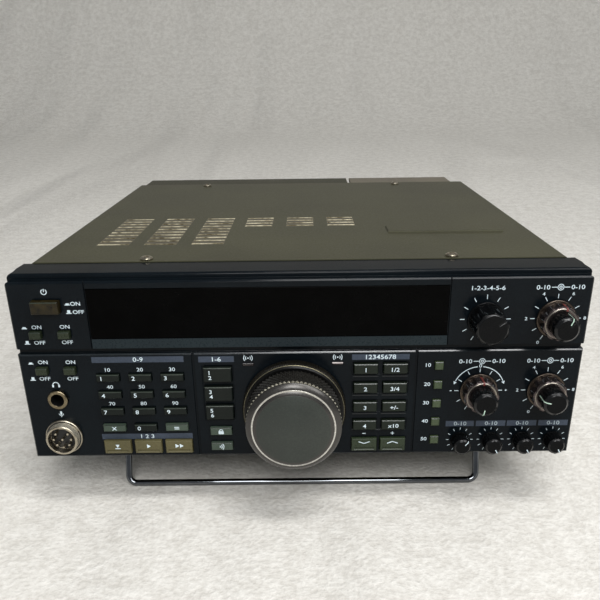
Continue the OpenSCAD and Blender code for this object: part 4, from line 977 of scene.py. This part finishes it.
# %% Signs
for x, z in ((120.4, 86.4), (87.7, 50.2), (120.4, 50.2)):
    marks += [arc(x, z, 1.35, 0.35, 0, 360), arc(x, z, 0.55, 0.35, 0, 360)]
    for side in (-1, 1):
        marks += [bar(x + 2.9 * side, z, 2.6, 0.35), write("0-10", x + 8.0 * side, z, 2.1)]
marks.append(write("1-2-3-4-5-6", 87.3, 86.4, 2.1))
for x, z in ((-107.7, 80.9), (-129.7, 69.5), (-129.7, 51.6)):
    marks += [bar(x, z - 0.35, 2.5, 0.4), bar(x, z + 0.1, 1.5, 0.7)]
for x, z in ((-107.5, 77.2), (-129.5, 62.2), (-130.0, 43.5)):
    marks += [bar(x, z - 0.75, 2.6, 0.4), bar(x, z + 0.05, 1.4, 1.6)]
for text, spots in (
        ("ON", ((-104.0, 81.1), (-123.9, 69.8), (-110.6, 69.9), (-123.9, 52.1), (-110.6, 52.0))),
        ("OFF", ((-103.0, 77.1), (-123.6, 62.1), (-110.4, 62.2), (-124.2, 43.5), (-110.6, 43.4)))):
    marks += [write(text, x, z, 1.85) for x, z in spots]
power_sign = [arc(-117.7, 86.9, 1.25, 0.4, 35, 325), bar(-117.7, 87.6, 0.4, 1.5)]
phones_sign = [arc(-119.4, 40.0, 1.5, 0.4, -90, 90), bar(-120.9, 39.6, 0.9, 1.5, r=0.3),
               bar(-117.9, 39.6, 0.9, 1.5, r=0.3)]
mic_sign = [bar(-119.2, 24.9, 1.0, 1.9, r=0.4), arc(-119.2, 24.6, 1.1, 0.3, 90, 270),
            bar(-119.2, 23.1, 0.3, 0.9)]
marks += power_sign + phones_sign + mic_sign
print("marks", len(marks))

# %% [markdown]
# ### Numbers and small signs
# Numbers head the strips, the number keys and the square keys, and a sign of waves stands over
# each lens. Print on a strip lies on top of the strip's own ink, a little further out.

# %% Numbers and small signs
KEYPAD_X, KEYPAD_PITCH, KEYPAD_ROW = -93.2, 15.6, 9.04
ON_STRIP = 0.07
for text, x, z, h in (("0-9", -78.0, 53.0, 2.3), ("1 2 3", -77.5, 11.4, 2.2),
                      ("1-6", -40.2, 52.7, 2.3), ("12345678", 38.9, 53.0, 2.3)):
    marks.append(write(text, x, z, h, ON_STRIP))
for i in range(3):
    for j in range(3):
        number = str(10 * (3 * j + i + 1))
        marks.append(write(number, KEYPAD_X + KEYPAD_PITCH * i, 44.0 - KEYPAD_ROW * j + 3.75, 1.9))
marks += [write(str(10 * (i + 1)), 61.9, 48.5 - 10.05 * i, 1.9) for i in range(5)]
marks += [bar(x, 11.7, 1.7, 0.42) for x in FUNCTION_X] + [bar(FUNCTION_X[1], 11.7, 0.42, 1.7)]
for x in (-25.0, 18.1):
    marks.append(bar(x, 53.1, 0.7, 0.7, r=0.3))
    marks += [arc(x, 53.1, r, 0.35, turn - 40, turn + 40) for r in (1.2, 2.1) for turn in (90, 270)]
printed("print_marks", marks, white_ink)
printed("print_small_numbers", [write("0-10", x - 0.3, 16.7, 2.1, ON_STRIP)
                                for knob, x, turn in TRIMS], dim_ink)

# %% [markdown]
# ## Print on the keys
# Legends move with their keys, so each key has its own piece of print. The number keys show
# their digits at the left, and the others show plain numbers or signs.

# %% Key legends
PROUD = 2.0
MEMORY_X, MEMORY_PITCH = -92.8, 15.5
legends = {}
for i in range(3):
    x = KEYPAD_X + KEYPAD_PITCH * i
    digits = [write(str(3 * j + i + 1), x - 3.2, 43.9 - KEYPAD_ROW * j, 2.1, PROUD)
              for j in range(3)]
    sign, shift, h = (("x", 0, 1.8), ("0", -3.2, 2.1), ("=", 0, 1.3))[i]
    legends["keypad_column_%d" % (i + 1)] = digits + [write(sign, x + shift, 16.8, h, PROUD)]
    z = 45.1 - 10.1 * i
    legends["mode_key_%d" % (i + 1)] = [write(str(2 * i + 1), -43.9, z + 1.3, 2.0, PROUD),
                                        write(str(2 * i + 2), -43.7, z - 1.3, 2.0, PROUD)]
legends["memory_key_1"] = [arrow(MEMORY_X, 7.1, 2.1, 180, PROUD),
                           bar(MEMORY_X, 5.5, 2.8, 0.45, 0, PROUD)]
legends["memory_key_2"] = [arrow(MEMORY_X + MEMORY_PITCH, 6.7, 2.2, 90, PROUD)]
legends["memory_key_3"] = [arrow(MEMORY_X + 2 * MEMORY_PITCH + d, 6.7, 2.2, 90, PROUD)
                           for d in (-1.1, 1.1)]
legends["lock_key"] = [bar(-40.0, 14.0, 2.6, 1.7, 0, PROUD, 0.3),
                       arc(-40.0, 14.8, 0.85, 0.4, -90, 90, PROUD)]
legends["voice_key"] = [arc(-41.6, 6.0, 0.7 + 0.9 * i, 0.4, 50, 130, PROUD) for i in range(3)]
for i, text in enumerate(("1", "1/2", "2", "3/4", "3", "+/-", "4", "x10")):
    z = 47.0 - FUNCTION_STEP * (i // 2)
    legends[FUNCTIONS[i]] = [write(text, FUNCTION_X[i % 2], z, 2.1, PROUD)]
for key, x, way in (("down_key", FUNCTION_X[0], 1), ("up_key", FUNCTION_X[1], -1)):
    legends[key] = [bar(x + side * 1.35, 7.5, 3.0, 0.42, way * side * -20, PROUD)
                    for side in (-1, 1)]
for key, pieces in legends.items():
    settle(joined(key + "_legend", pieces), key, slot_of[key], white_ink)
print("legends", len(legends))

# %% [markdown]
# ## Floor and backdrop
# The set stands on a pale fleece, a plain sheet that curves up behind it, so that no horizon
# shows. The curve is one edge, extruded in twelve short steps. The pile is drawn coarser than
# it is, so that it shows, and long soft folds are added below it by a second bump, from a noise
# that is stretched from front to back.

# %% Floor and backdrop
FLOOR_HALF = (2.5, 1.1)
BEND_R, BEND_STEPS = 0.6, 12
WALL_H = 1.2
FOLD_DEPTH = 40.0
# Brushed pile: matt, broken into soft tufts, with no highlight.
fleece = finish("pale_fleece", "#d3cfc7", "#e8e5de", 2.6, 0.9, 0.05, bump=0.7, cloud=9.0)
tree = fleece.node_tree
pile = tree.nodes["Bump"]
drape = add(tree, "Mapping", {"Scale": (6.5, 1.6, 1.6), "Rotation": (0, 0.25, 0)},
            {"Vector": tree.nodes["Texture Coordinate"].outputs["Object"]})
wave = add(tree, "TexNoise", {"Scale": 1.0, "Detail": 1.5, "Distortion": 0.6},
           {"Vector": drape.outputs[0]})
swell = add(tree, "Bump", {"Distance": FOLD_DEPTH * MM}, {"Height": wave.outputs["Fac"]})
tree.links.new(swell.outputs["Normal"], pile.inputs["Normal"])
floor = start(bpy.ops.mesh.primitive_plane_add, size=2)
floor.name = "fleece_floor"
edit(floor)
bpy.ops.transform.resize(value=(*FLOOR_HALF, 1))
bpy.ops.transform.translate(value=(0, -0.1, 0))
choose(floor, "EDGE", lambda edge: all(floor.data.vertices[v].co.y > 0.9 for v in edge.vertices))
bend = [math.radians(90 * i / BEND_STEPS) for i in range(BEND_STEPS + 1)]
for before, after in zip(bend, bend[1:]):
    bpy.ops.mesh.extrude_edges_move(TRANSFORM_OT_translate={"value": (
        0, BEND_R * (math.sin(after) - math.sin(before)),
        BEND_R * (math.cos(before) - math.cos(after)))})
bpy.ops.mesh.extrude_edges_move(TRANSFORM_OT_translate={"value": (0, 0, WALL_H)})
close_up()
bpy.ops.object.shade_smooth()
paint(floor, fleece)
print("floor", len(floor.data.polygons), "faces")

# %% [markdown]
# ## Light
# A room with soft lamps. A long ceiling lamp draws the bright lines on the upper edges, a lamp
# at the right lights the front, one behind the camera shines in the dial's bezel, and a weak one
# fills in from the back. The level is plain, so that a colour renders about as it is written.

# %% Light
world = bpy.data.worlds.new("dim_room")
bpy.context.scene.world = world
world.use_nodes = True
room = world.node_tree.nodes["Background"]
room.inputs["Color"].default_value = linear("#e8ecf0")
room.inputs["Strength"].default_value = 0.3
for name, size, spot, aim, power in (
        ("ceiling_lamp", (0.8, 0.26), (0.32, -0.48, 1.45), (0.32, -0.3, 0), 10.5),
        ("side_lamp", (0.6, 0.6), (0.75, -0.85, 1.0), (0, -0.2, 0), 5.5),
        ("front_lamp", (0.5, 0.7), (0.0, -1.2, 1.1), (0, -0.1, 0.05), 11.0),
        ("room_light", (1.6, 1.6), (0.4, 0.5, 1.6), (0, 0, 0), 1.0)):
    lamp_data = bpy.data.lights.new(name, "AREA")
    lamp_data.shape = "RECTANGLE"
    lamp_data.size, lamp_data.size_y = size
    lamp_data.energy = power
    lamp = bpy.data.objects.new(name, lamp_data)
    bpy.context.scene.collection.objects.link(lamp)
    lamp.location = spot
    lamp.rotation_euler = (Vector(aim) - Vector(spot)).to_track_quat("-Z", "Y").to_euler()
    print(name, power, "W")
